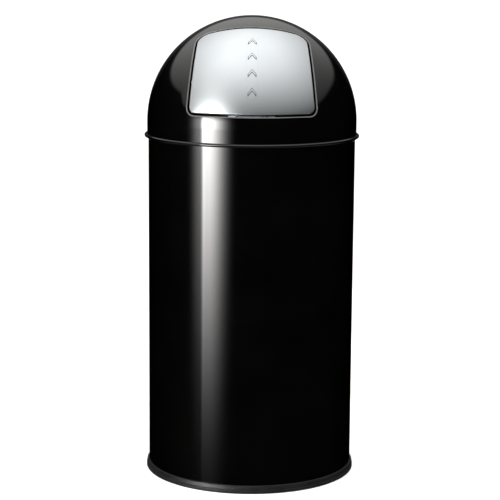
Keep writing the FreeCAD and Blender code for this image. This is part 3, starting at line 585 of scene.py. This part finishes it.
def moulded_plastic(name, low, high, rough, grain_scale, shine=0.5):
    """Moulded plastic: a fine grain, faint flow marks and slightly uneven gloss."""
    material, nodes, links = new_material(name)
    shader = nodes["Principled BSDF"]
    shader.inputs["Specular IOR Level"].default_value = shine
    flow = noise(nodes, links, scale=40, detail=4, stretch=(1, 1, 2.5))
    tint(nodes, links, shader, flow, low, high)
    roughen(nodes, links, shader, flow, rough, rough + 0.12)
    grain = noise(nodes, links, scale=grain_scale, detail=2)
    bump(nodes, links, shader, grain, strength=0.18, distance=0.0003)
    return material


PAINT = gloss_black_paint()
PRIMER = satin_black_coat()
LIP_HIGHLIGHT_PAINT = lip_highlight_paint()
STAINLESS = brushed_stainless(
    "brushed_stainless", (0.43, 0.455, 0.47), (0.48, 0.505, 0.52), rough=0.29
)
# the rolled edge gets a brighter steel, which is a painted highlight, and the slopes of the marks a
# dark steel, which is painted shade
EDGE_HIGHLIGHT_STEEL = brushed_stainless(
    "edge_highlight_stainless", (0.62, 0.66, 0.69), (0.72, 0.76, 0.79), rough=0.45
)
# dark steel for the slopes of the marks: painted shade
MARK_SHADE_STEEL = brushed_stainless(
    "mark_shade_stainless", (0.03, 0.032, 0.034), (0.06, 0.063, 0.066), rough=0.4
)
# a face of the marks is a slope where the cosine of its tilt from the dome is below this
MARK_SLOPE = 0.975
ZINC = zinc_plate()
SPRING = spring_wire()
GALVANISED = galvanised_steel()
RING_PLASTIC = moulded_plastic(
    "black_ring_plastic", (0.006, 0.006, 0.0065), (0.012, 0.0115, 0.011),
    rough=0.36, grain_scale=900, shine=0.3,
)
GRIP_PLASTIC = moulded_plastic(
    "grip_plastic", (0.018, 0.018, 0.018), (0.028, 0.028, 0.028), rough=0.42, grain_scale=1400
)
NYLON = moulded_plastic(
    "nylon", (0.66, 0.64, 0.58), (0.76, 0.74, 0.68), rough=0.35, grain_scale=900
)
RUBBER = moulded_plastic(
    "black_rubber", (0.016, 0.016, 0.016), (0.026, 0.025, 0.025), rough=0.6, grain_scale=1600
)


# ---------------------------------------------------------------- body


def make_body():
    """The rolled cylinder, with its inward curl, and the lap seam down the back."""
    centre = (BODY_RADIUS - BODY_CURL, BODY_TOP - BODY_CURL)
    wall = straight((BODY_RADIUS, BODY_FOOT), (BODY_RADIUS, centre[1]), WALL_STEPS)
    profile = wall + arc_points(*centre, BODY_CURL, 0, CURL_TURN, CURL_STEPS)[1:]
    add_sheet("body_cylinder", turned_rings(profile), BODY_SHEET,
              "body", "gloss_black_paint", ["body_shell"], PAINT)
    add_seam()


def add_seam():
    """A low lap seam, feathered into the cylinder along its long edges."""
    vertices = []
    for row in range(SEAM_ROWS + 1):
        height = SEAM_FOOT + (SEAM_TOP - SEAM_FOOT) * row / SEAM_ROWS
        for column in range(SEAM_COLUMNS + 1):
            across = SEAM_HALF * (1 - 2 * column / SEAM_COLUMNS)
            share = min((SEAM_HALF - abs(across)) / SEAM_FEATHER, 1.0)
            if row in (0, SEAM_ROWS):
                share = 0.0
            radius = BODY_RADIUS - SEAM_SUNK + SEAM_PROUD * share
            angle = across / BODY_RADIUS
            vertices.append(Vector((radius * math.sin(angle), radius * math.cos(angle), height)))
    add_piece("body_seam", vertices, grid_faces(SEAM_ROWS, SEAM_COLUMNS),
              "body", "gloss_black_paint", [], PAINT)


def make_floor_ring():
    """The moulded ring, with a slot for the cylinder's foot and a groove round its face."""
    slot_outer, slot_inner = BODY_RADIUS + RING_GAP, BODY_RADIUS - BODY_SHEET - RING_GAP
    groove = RING_RADIUS - GROOVE_DEPTH
    corners = [
        (RING_INNER, 0, 0),
        (RING_RADIUS, 0, RING_ROUND),
        (RING_RADIUS, GROOVE_FOOT, GROOVE_ROUND),
        (groove, GROOVE_FOOT + GROOVE_SIDE, GROOVE_ROUND),
        (groove, GROOVE_TOP - GROOVE_SIDE, GROOVE_ROUND),
        (RING_RADIUS - GROOVE_SIDE, GROOVE_TOP, GROOVE_ROUND),
        (RING_SHOULDER, RING_HEIGHT, RING_CROWN),
        (slot_outer, RING_HEIGHT, 0),
        (slot_outer, BODY_FOOT - RING_GAP, 0),
        (slot_inner, BODY_FOOT - RING_GAP, 0),
        (slot_inner, RING_LEDGE, RING_BEVEL),
        (RING_INNER, RING_LEDGE, RING_BEVEL),
    ]
    add_turned("foot_ring", rounded(corners),
               "body", "black_ring_plastic", ["floor_ring"], RING_PLASTIC)


def pan_face(top, rim, corner):
    """The points of one face of the base pan, from the axis out to its rim's foot."""
    low = top - RIB_DROP
    return rounded([
        (0, top, 0),
        (RIB_INNER, top, PAN_BEND),
        (RIB_INNER + RIB_DROP, low, PAN_BEND),
        (RIB_OUTER - RIB_DROP, low, PAN_BEND),
        (RIB_OUTER, top, PAN_BEND),
        (rim, top, corner),
        (rim, PAN_FOOT, 0),
    ])


def make_base_pan():
    """The pressed base, with a round rib and a rim turned down."""
    under = pan_face(PAN_TOP - PAN_SHEET, PAN_RIM - PAN_SHEET, PAN_CORNER - PAN_SHEET)
    upper = pan_face(PAN_TOP, PAN_RIM, PAN_CORNER)
    add_disc("base_plate", under + upper[::-1], "body", "black_primer", ["base_pan"], PRIMER)


# ---------------------------------------------------------------- dome lid


def make_dome():
    """The spun dome with its turned-in aperture, skirt and outward bead."""
    rings = edge_rings(FLAP_GAP, LIP_BEND, 1, LIP_DEPTH)
    # from the lip, arcs fan out over the sphere to its equator
    ends = []
    for point in rings[-1]:
        ray = point - DOME_MIDDLE
        out = ray.dot(OUT_FLAP)
        across = ray - OUT_FLAP * out
        away = across.normalized()
        first = math.atan2(across.length, out)
        last = math.atan2(OUT_FLAP.z, -away.z)
        ends.append((away, first, last))
    for row in range(1, DOME_ROWS + 1):
        ring = []
        for away, first, last in ends:
            angle = first + (last - first) * row / DOME_ROWS
            ray = OUT_FLAP * math.cos(angle) + away * math.sin(angle)
            ring.append(DOME_MIDDLE + ray * DOME_RADIUS)
        rings.append(ring)
    profile = straight((DOME_RADIUS, DOME_CENTRE), (DOME_RADIUS, SKIRT_END), SKIRT_STEPS)[1:]
    # below the skirt the sheet's outer face is the inside of the bead
    bead_middle = DOME_RADIUS - DOME_SHEET + BEAD_CURL
    inside = BEAD_CURL - DOME_SHEET
    profile += arc_points(bead_middle, BEAD_HEIGHT, inside, 180, BEAD_TURN, BEAD_STEPS)
    directions = [Vector((p.x, p.y, 0)).normalized() for p in rings[-1]]
    for radius, height in profile:
        rings.append([d * radius + Vector((0, 0, height)) for d in directions])
    # the rings run outwards from the aperture, so they are turned to face outwards
    rings = [ring[::-1] for ring in rings]
    skin = add_sheet("dome_skin", rings, DOME_SHEET, "dome_lid", "gloss_black_paint",
                     ["dome_shell"], PAINT)
    # the lip's bend gets the grey paint, a painted highlight
    shade_faces(skin, LIP_HIGHLIGHT_PAINT, bend_faces(rings[0]))


def make_support_ring():
    """The ring inside the dome: a leg that centres it, and a shelf that rests on the curl."""
    outer, leg = DOME_RADIUS - DOME_SHEET - REST_GAP, REST_INNER + REST_SHEET
    upper = REST_SHELF + REST_SHEET
    corners = [
        (REST_INNER, REST_FOOT, 0),
        (leg, REST_FOOT, 0),
        (leg, REST_SHELF, REST_SHEET),
        (outer, REST_SHELF, REST_OUTER_BEND),
        (outer, REST_RIM, 0),
        (outer - REST_SHEET, REST_RIM, 0),
        (outer - REST_SHEET, upper, REST_INNER_BEND),
        (REST_INNER, upper, REST_SHELF_BEND),
    ]
    add_turned("rest_ring", rounded(corners),
               "dome_lid", "black_primer", ["dome_support_ring"], PRIMER)


def coil_points(hinge, side):
    """The centre line of a spring's coil, from straight below the hinge, and of its rear leg."""
    turns = COIL_TURNS + (270 - COIL_REAR_LEG) / 360
    points = []
    for step in range(COIL_STEPS + 1):
        share = step / COIL_STEPS
        angle = math.radians(-90 + 360 * turns * share)
        across = side * (COIL_START + COIL_PITCH * turns * share)
        round_hinge = Vector((0, math.cos(angle), math.sin(angle))) * COIL_RADIUS
        points.append(hinge + Vector((across, 0, 0)) + round_hinge)
    end_angle = math.radians(90 - COIL_REAR_LEG)
    rear = Vector((0, math.cos(end_angle), math.sin(end_angle)))
    last = points[-1]
    return points + [last + rear * REAR_LEG * step / LEG_STEPS for step in range(1, LEG_STEPS + 1)]


def make_springs():
    """Torsion springs: coil and rear leg stay with the lid, the front leg goes with the flap."""
    hinge = beside_flap(0, HINGE_UP, HINGE_OUT)
    lengths = [FRONT_LEG * step / LEG_STEPS for step in range(LEG_STEPS + 1)]
    lengths.append(FRONT_LEG + LEG_TIP)
    leg_radii = [COIL_WIRE] * (len(lengths) - 1) + [COIL_WIRE * LEG_TIP_SHARE]
    for side, name in ((1, "right"), (-1, "left")):
        coil = coil_points(hinge, side)
        add_tube(f"spring_coil_{name}", coil, [COIL_WIRE] * len(coil),
                 "dome_lid", "spring_steel", [f"return_spring_{name}"], SPRING)
        foot = hinge + Vector((side * COIL_START, 0, -COIL_RADIUS))
        leg = [foot + Vector((0, -length, 0)) for length in lengths]
        add_tube(f"spring_leg_{name}", leg, leg_radii, "flap", "spring_steel", [], SPRING)


# ---------------------------------------------------------------- flap


def make_flap():
    """The spherical stainless panel with its edge turned in."""
    rings = edge_rings(0.0, FLAP_BEND, -1, FLAP_DEPTH)
    inside = [(x - nx * FLAP_BEND, v - nv * FLAP_BEND) for x, v, nx, nv in OUTLINE]
    for row in range(FLAP_ROWS - 1, 0, -1):
        rings.append([on_dome(x * row / FLAP_ROWS, v * row / FLAP_ROWS) for x, v in inside])
    loop = sheet_rings(rings, FLAP_SHEET)
    count = len(OUTLINE)
    outer_end = (len(rings) - 1) * count
    vertices = flatten(loop)
    # the two faces of the sheet close on a middle point each, not on one another
    faces = stitch(loop, True)
    faces = faces[:outer_end] + faces[outer_end + count:]
    faces += fan_faces(outer_end, count, len(vertices), False)
    faces += fan_faces(outer_end + count, count, len(vertices) + 1, True)
    vertices += [on_dome(0, 0), on_dome(0, 0, DOME_RADIUS - FLAP_SHEET)]
    panel = add_piece("flap_skin", vertices, faces, "flap", "brushed_stainless", ["flap_panel"],
                      STAINLESS)
    # the bend of the flap's edge gets the brighter steel: a painted highlight
    shade_faces(panel, EDGE_HIGHLIGHT_STEEL, bend_faces(rings[0]))


def chevron_height(x, v):
    """How far the raised chevrons stand out of the panel at (x, v)."""
    height = 0.0
    for number in range(MARK_COUNT):
        peak = MARK_LOWEST + MARK_PITCH * number + MARK_STROKE / 2
        middle = peak + MARK_RISE * (1 - abs(x) / MARK_HALF)
        outside = max(abs(v - middle) - MARK_STROKE / 2, abs(x) - MARK_HALF) + MARK_FLANK
        share = min(max(1 - outside / MARK_FLANK, 0.0), 1.0)
        height = max(height, share * share * (3 - 2 * share))
    return height * MARK_PROUD


def add_marks():
    """A fine patch of the panel that carries the raised chevrons, feathered into the sheet."""
    low = MARK_LOWEST - PATCH_MARGIN
    tall = MARK_PITCH * (MARK_COUNT - 1) + MARK_RISE + MARK_STROKE + 2 * PATCH_MARGIN
    vertices = []
    for row in range(PATCH_ROWS + 1):
        v = low + tall * row / PATCH_ROWS
        for column in range(PATCH_COLUMNS + 1):
            x = PATCH_HALF * (2 * column / PATCH_COLUMNS - 1)
            edge = column in (0, PATCH_COLUMNS) or row in (0, PATCH_ROWS)
            lift = -PATCH_SUNK if edge else PATCH_PROUD + chevron_height(x, v)
            vertices.append(on_dome(x, v, DOME_RADIUS + lift))
    marks = add_piece("flap_marks", vertices, grid_faces(PATCH_ROWS, PATCH_COLUMNS),
                      "flap", "brushed_stainless", [], STAINLESS)
    centre = DOME_MIDDLE * MM
    slopes = [
        face.index
        for face in marks.data.polygons
        if face.normal.dot((face.center - centre).normalized()) < MARK_SLOPE
    ]
    # the slopes get the dark steel, painted shade along the edges of the marks
    shade_faces(marks, MARK_SHADE_STEEL, slopes)


# ---------------------------------------------------------------- liner and bail


def make_liner():
    """The tapered bucket with its outward rim curl, and its floor."""
    inner = LINER_TOP_RADIUS - LINER_SHEET
    curl = (inner + LINER_CURL, LINER_TOP - LINER_CURL)
    foot = (LINER_FOOT_RADIUS - LINER_SHEET, LINER_FOOT)
    profile = straight(foot, (inner, curl[1]), LINER_STEPS)
    profile += arc_points(*curl, LINER_CURL, 180, -CURL_TURN, CURL_STEPS)[1:]
    # the profile follows the sheet's inner face, so the sheet lies outside it
    rings = [ring[::-1] for ring in turned_rings(profile)]
    add_sheet("liner_bucket", rings, LINER_SHEET,
              "liner", "galvanised_steel", ["liner_wall"], GALVANISED)
    under, rim = LINER_FLOOR - LINER_SHEET, LINER_FLOOR_RIM - LINER_SHEET
    floor = rounded([
        (0, under, 0),
        (rim, under, LINER_FLOOR_CORNER - LINER_SHEET),
        (rim, LINER_FOOT, 0),
        (LINER_FLOOR_RIM, LINER_FOOT, 0),
        (LINER_FLOOR_RIM, LINER_FLOOR, LINER_FLOOR_CORNER),
        (0, LINER_FLOOR, 0),
    ])
    add_disc("liner_floor", floor, "liner", "galvanised_steel", ["liner_base"], GALVANISED)


def bail_arc():
    """The middle of the bail's long arc over the bin, as its centre's y and its radius."""
    sweep = math.radians(BAIL_SIDE_SWEEP)
    centre = BAIL_ELBOW - BAIL_SIDE_CENTRE * math.tan(sweep)
    return centre, BAIL_SPAN - BAIL_SIDE_CENTRE + BAIL_SIDE_CENTRE / math.cos(sweep)


def bail_path():
    """The bail's centre line, right end to left, with its radii."""
    centre, radius = bail_arc()
    neck = BAIL_END + BAIL_HEAD_SHEET
    right = [(x, 0) for x in (BAIL_END, neck, neck + BAIL_HEAD_STEP, neck + BAIL_HEAD_SHEET)]
    right += arc_points(BAIL_SPAN - BAIL_ELBOW, BAIL_ELBOW, BAIL_ELBOW, -90, 90, ELBOW_STEPS)
    side = (BAIL_SIDE_CENTRE, BAIL_ELBOW, BAIL_SPAN - BAIL_SIDE_CENTRE)
    right += arc_points(*side, 0, BAIL_SIDE_SWEEP, BAIL_SIDE_STEPS)[1:]
    sweep = 180 - 2 * BAIL_SIDE_SWEEP
    middle = arc_points(0, centre, radius, BAIL_SIDE_SWEEP, sweep, BAIL_STEPS)[1:-1]
    left = [(-x, y) for x, y in right][::-1]
    radii = [BAIL_HEAD] * 2 + [BAIL_WIRE] * (len(right) - 2)
    radii = radii + [BAIL_WIRE] * len(middle) + radii[::-1]
    return [(x, y, BAIL_HEIGHT) for x, y in right + middle + left], radii


def make_bail():
    """The wire handle and the ribbed tube round the middle of it."""
    points, radii = bail_path()
    add_tube("bail_wire", points, radii, "bail", "zinc_plated_steel", ["liner_bail"], ZINC)
    centre, radius = bail_arc()
    line = arc_points(0, centre, radius, 90 - GRIP_SWEEP / 2, GRIP_SWEEP, GRIP_STEPS)
    grip = [(x, y, BAIL_HEIGHT) for x, y in line]
    grip_radii = []
    for step in range(GRIP_STEPS + 1):
        share = step / GRIP_STEPS
        near_end = min(share, 1 - share)
        short = max(GRIP_ROUND - near_end * math.radians(GRIP_SWEEP) * radius, 0.0)
        rounding = GRIP_ROUND - math.sqrt(GRIP_ROUND ** 2 - short ** 2)
        rib = GRIP_RIB_DEPTH * (0.5 - 0.5 * math.cos(math.tau * share * GRIP_RIBS))
        grip_radii.append(GRIP_RADIUS - rounding - (rib if near_end > GRIP_PLAIN_END else 0.0))
    add_tube("bail_tube", grip, grip_radii, "bail", "grip_plastic", ["bail_grip"], GRIP_PLASTIC)


# ---------------------------------------------------------------- pieces that stay as CAD made them

KEPT_NODES = {
    "hinge_bracket_right": ZINC,
    "hinge_bracket_left": ZINC,
    "hinge_rod": ZINC,
    "rod_clips": SPRING,
    "flap_arm_right": ZINC,
    "flap_arm_left": ZINC,
    "flap_bush_right": NYLON,
    "flap_bush_left": NYLON,
    "flap_stop_strip": ZINC,
    "stop_bumpers": RUBBER,
    "liner_ear_right": ZINC,
    "liner_ear_left": ZINC,
    "liner_ear_rivets": ZINC,
}


def dress_nodes():
    """Gives the nodes that stay as CAD made them their materials."""
    for name, material in KEPT_NODES.items():
        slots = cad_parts[name].data.materials
        slots.clear()
        slots.append(material)


# ---------------------------------------------------------------- studio


# studio: lengths in metres, power in watts
FLOOR_REACH, FLOOR_GREY, FLOOR_ROUGHNESS, FLOOR_GLOW = 60.0, 0.9, 0.9, 0.35
TENT_REACH, TENT_MIDDLE = 20.0, 0.58
TENT_ROWS, TENT_AROUND = 24, 48
TENT_COLOUR = (1.0, 0.99, 0.98, 1)
WORLD_LIGHT = 0.9
SOFTBOXES = {
    "softbox_left": {
        "place": (-2.2, -1.9, 1.6), "target": (0, 0, 0.5), "size": (1.0, 1.6), "power": 25,
    },
    "softbox_overhead": {
        "place": (0.0, -1.0, 2.6), "target": (0, 0, 0.6), "size": (1.6, 1.4), "power": 30,
    },
}


def make_floor():
    """A plain pale floor, which the glossy surfaces don't see."""
    material, nodes, _ = new_material("studio_floor")
    shader = nodes["Principled BSDF"]
    shader.inputs["Base Color"].default_value = (FLOOR_GREY, FLOOR_GREY, FLOOR_GREY, 1)
    shader.inputs["Roughness"].default_value = FLOOR_ROUGHNESS
    shader.inputs["Emission Color"].default_value = (1, 1, 1, 1)
    shader.inputs["Emission Strength"].default_value = FLOOR_GLOW
    signs = ((-1, -1), (1, -1), (1, 1), (-1, 1))
    corners = [(FLOOR_REACH * x, FLOOR_REACH * y, 0) for x, y in signs]
    floor = add_mesh("studio_floor", corners, [(0, 1, 2, 3)], material)
    floor.visible_glossy = False


def add_softbox(name, place, target, size, power):
    """A rectangular light at place, facing target, for the surfaces that aren't glossy."""
    light = bpy.data.lights.new(name, "AREA")
    light.shape = "RECTANGLE"
    light.size, light.size_y = size
    light.energy = power
    box = add_object(name, light)
    box.location = place
    box.rotation_euler = (Vector(target) - Vector(place)).to_track_quat("-Z", "Y").to_euler()
    box.visible_glossy = False


def combine(nodes, links, operation, *values):
    """A math node on values that are each a number or another node's output."""
    node = nodes.new("ShaderNodeMath")
    node.operation = operation
    for socket, value in zip(node.inputs, values):
        if isinstance(value, (int, float)):
            socket.default_value = value
        else:
            links.new(value, socket)
    return node.outputs[0]


# Around the bin, angles are degrees about Z from the front, positive to the right; heights are
# degrees above the horizontal.  A softbox's edge is (dark, lit): the angle where its light starts
# and the angle where it is full.

# key light: a tall strip to the left of the camera, crisp at its left, fading right and down
KEY_LEFT, KEY_RIGHT = (-60, -53), (-10, -48)
KEY_BOTTOM, KEY_TOP = (-24, -2), (16, 2)
KEY_LEVEL = 37.0
# a dim panel beside it
SIDE_LEFT, SIDE_RIGHT = (-80, -57), (-48, -54)
SIDE_LEVEL = 5.5
# overhead: a wide softbox that comes lower in front than at the sides, brightest straight up
OVERHEAD_SIDE_EDGE, OVERHEAD_FRONT_EDGE = 21.0, 12.5
OVERHEAD_FRONT_LEFT, OVERHEAD_FRONT_RIGHT = (-94, -80), (115, 55)
OVERHEAD_BLUR = 1.5
OVERHEAD_RISE = 52.0
OVERHEAD_LOW, OVERHEAD_HIGH = 0.55, 2.7
# it is dimmer towards the right
DIM_TURN, DIM_SHARE = 60.0, 0.2
# rear strip: narrow, straight behind the bin and low, for the sides and the back
REAR_SIDES, REAR_BOTTOM, REAR_TOP = (166, 176), (-70, -30), (-2, -14)
REAR_LEVEL = 7.0
# wall: dim, behind the bin, caught only at a glance along the top of the dome
WALL_SIDES, WALL_BOTTOM, WALL_TOP = (140, 170), (-6, 6), (34, 24)
WALL_LEVEL = 0.07
# floor: what little of the pale floor shows in the gloss, well below the horizon
FLOOR_EDGE = (-16, -44)
FLOOR_LEVEL = 0.25
# how steeply a softbox fades towards its edges
SOFTNESS = 3.0


def eased(nodes, links, angle, edge):
    """0 on an edge's dark side to 1 on its lit side, eased at both ends."""
    dark, lit = edge
    node = nodes.new("ShaderNodeMapRange")
    node.interpolation_type = "SMOOTHSTEP"
    values = (min(edge), max(edge), float(dark > lit), float(lit > dark))
    for socket, value in zip(("From Min", "From Max", "To Min", "To Max"), values):
        node.inputs[socket].default_value = value
    links.new(angle, node.inputs["Value"])
    return node.outputs["Result"]


def softbox_light(nodes, links, level, *edges):
    """A softbox's light: its level inside all of its edges, each given with its angle."""
    light = level
    for angle, edge in edges:
        fade = combine(nodes, links, "POWER", eased(nodes, links, angle, edge), SOFTNESS)
        light = combine(nodes, links, "MULTIPLY", fade, light)
    return light


def overhead_light(nodes, links, unit, around, up):
    """The overhead softbox, brighter with the height above its edge and dimmer to the right."""
    left = eased(nodes, links, around, OVERHEAD_FRONT_LEFT)
    right = eased(nodes, links, around, OVERHEAD_FRONT_RIGHT)
    front = combine(nodes, links, "MULTIPLY", left, right)
    dip = combine(nodes, links, "MULTIPLY", front, OVERHEAD_SIDE_EDGE - OVERHEAD_FRONT_EDGE)
    edge = combine(nodes, links, "SUBTRACT", OVERHEAD_SIDE_EDGE, dip)
    above = combine(nodes, links, "SUBTRACT", up, edge)
    light = ramp(nodes, links, above, OVERHEAD_LOW, OVERHEAD_HIGH, 0.0, OVERHEAD_RISE)
    inside = ramp(nodes, links, above, 0.0, 1.0, -OVERHEAD_BLUR, OVERHEAD_BLUR)
    light = combine(nodes, links, "MULTIPLY", light, inside)
    facing = nodes.new("ShaderNodeVectorMath")
    facing.operation = "DOT_PRODUCT"
    links.new(unit, facing.inputs[0])
    turn = math.radians(DIM_TURN)
    facing.inputs[1].default_value = (math.sin(turn), -math.cos(turn), 0)
    dim = combine(nodes, links, "MULTIPLY", facing.outputs["Value"], DIM_SHARE)
    share = combine(nodes, links, "SUBTRACT", 1 - DIM_SHARE, dim)
    return combine(nodes, links, "MULTIPLY", light, share)


def tent_material():
    """The light that the tent gives off, worked out from the direction seen from its middle."""
    material, nodes, links = new_material("light_tent")
    nodes.remove(nodes["Principled BSDF"])
    place = nodes.new("ShaderNodeTexCoord")
    unit = nodes.new("ShaderNodeVectorMath")
    unit.operation = "NORMALIZE"
    links.new(place.outputs["Object"], unit.inputs[0])
    axes = nodes.new("ShaderNodeSeparateXYZ")
    links.new(unit.outputs["Vector"], axes.inputs["Vector"])
    front = combine(nodes, links, "MULTIPLY", axes.outputs["Y"], -1.0)
    turn = combine(nodes, links, "ARCTAN2", axes.outputs["X"], front)
    around = combine(nodes, links, "DEGREES", turn)
    rise = combine(nodes, links, "ARCSINE", axes.outputs["Z"])
    up = combine(nodes, links, "DEGREES", rise)
    behind = combine(nodes, links, "ABSOLUTE", around)
    total = overhead_light(nodes, links, unit.outputs["Vector"], around, up)
    for level, *edges in (
        (KEY_LEVEL, (around, KEY_LEFT), (around, KEY_RIGHT), (up, KEY_BOTTOM), (up, KEY_TOP)),
        (SIDE_LEVEL, (around, SIDE_LEFT), (around, SIDE_RIGHT), (up, KEY_BOTTOM), (up, KEY_TOP)),
        (REAR_LEVEL, (behind, REAR_SIDES), (up, REAR_BOTTOM), (up, REAR_TOP)),
        (WALL_LEVEL, (behind, WALL_SIDES), (up, WALL_BOTTOM), (up, WALL_TOP)),
        (FLOOR_LEVEL, (up, FLOOR_EDGE)),
    ):
        total = combine(nodes, links, "ADD", total, softbox_light(nodes, links, level, *edges))
    glow = nodes.new("ShaderNodeEmission")
    glow.inputs["Color"].default_value = TENT_COLOUR
    links.new(total, glow.inputs["Strength"])
    links.new(glow.outputs["Emission"], nodes["Material Output"].inputs["Surface"])
    return material


def make_light_tent():
    """A large tent of softboxes that only the glossy surfaces see."""
    half_circle = arc_points(0, 0, TENT_REACH, -90, 180, TENT_ROWS)
    vertices, faces = disc_mesh(half_circle, TENT_AROUND)
    tent = add_mesh("light_tent", vertices, faces, tent_material())
    tent.location = (0, 0, TENT_MIDDLE)
    tent.visible_camera = False
    tent.visible_diffuse = False
    tent.visible_shadow = False
    tent.visible_transmission = False
    tent.visible_volume_scatter = False


def light_studio():
    """Soft white light from all round for diffuse surfaces, and the tent for glossy ones."""
    world = bpy.data.worlds.new("studio")
    bpy.context.scene.world = world
    world.use_nodes = True
    background = world.node_tree.nodes["Background"]
    background.inputs["Color"].default_value = (1, 1, 1, 1)
    background.inputs["Strength"].default_value = WORLD_LIGHT
    world.cycles_visibility.glossy = False
    bpy.context.scene.view_settings.view_transform = "Standard"
    for name, sizes in SOFTBOXES.items():
        add_softbox(name, **sizes)
    make_light_tent()


def place_camera():
    """The camera looks slightly down at the bin from the front."""
    camera = bpy.data.cameras.new("camera")
    camera.lens, camera.sensor_width = CAMERA_LENS, CAMERA_SENSOR
    camera.clip_end = CAMERA_REACH
    view = add_object("camera", camera)
    turn = Quaternion((0, 0, 1), math.radians(CAMERA_TURN))
    view.location = turn @ Vector(CAMERA_PLACE)
    view.rotation_mode = "QUATERNION"
    tilt = Euler((math.radians(90 - CAMERA_PITCH), 0, 0)).to_quaternion()
    view.rotation_quaternion = turn @ tilt @ Quaternion((0, 0, 1), math.radians(CAMERA_ROLL))
    bpy.context.scene.camera = view


place_camera()
make_body()
make_floor_ring()
make_base_pan()
make_dome()
make_support_ring()
make_springs()
make_flap()
add_marks()
make_liner()
make_bail()
dress_nodes()
make_floor()
light_studio()
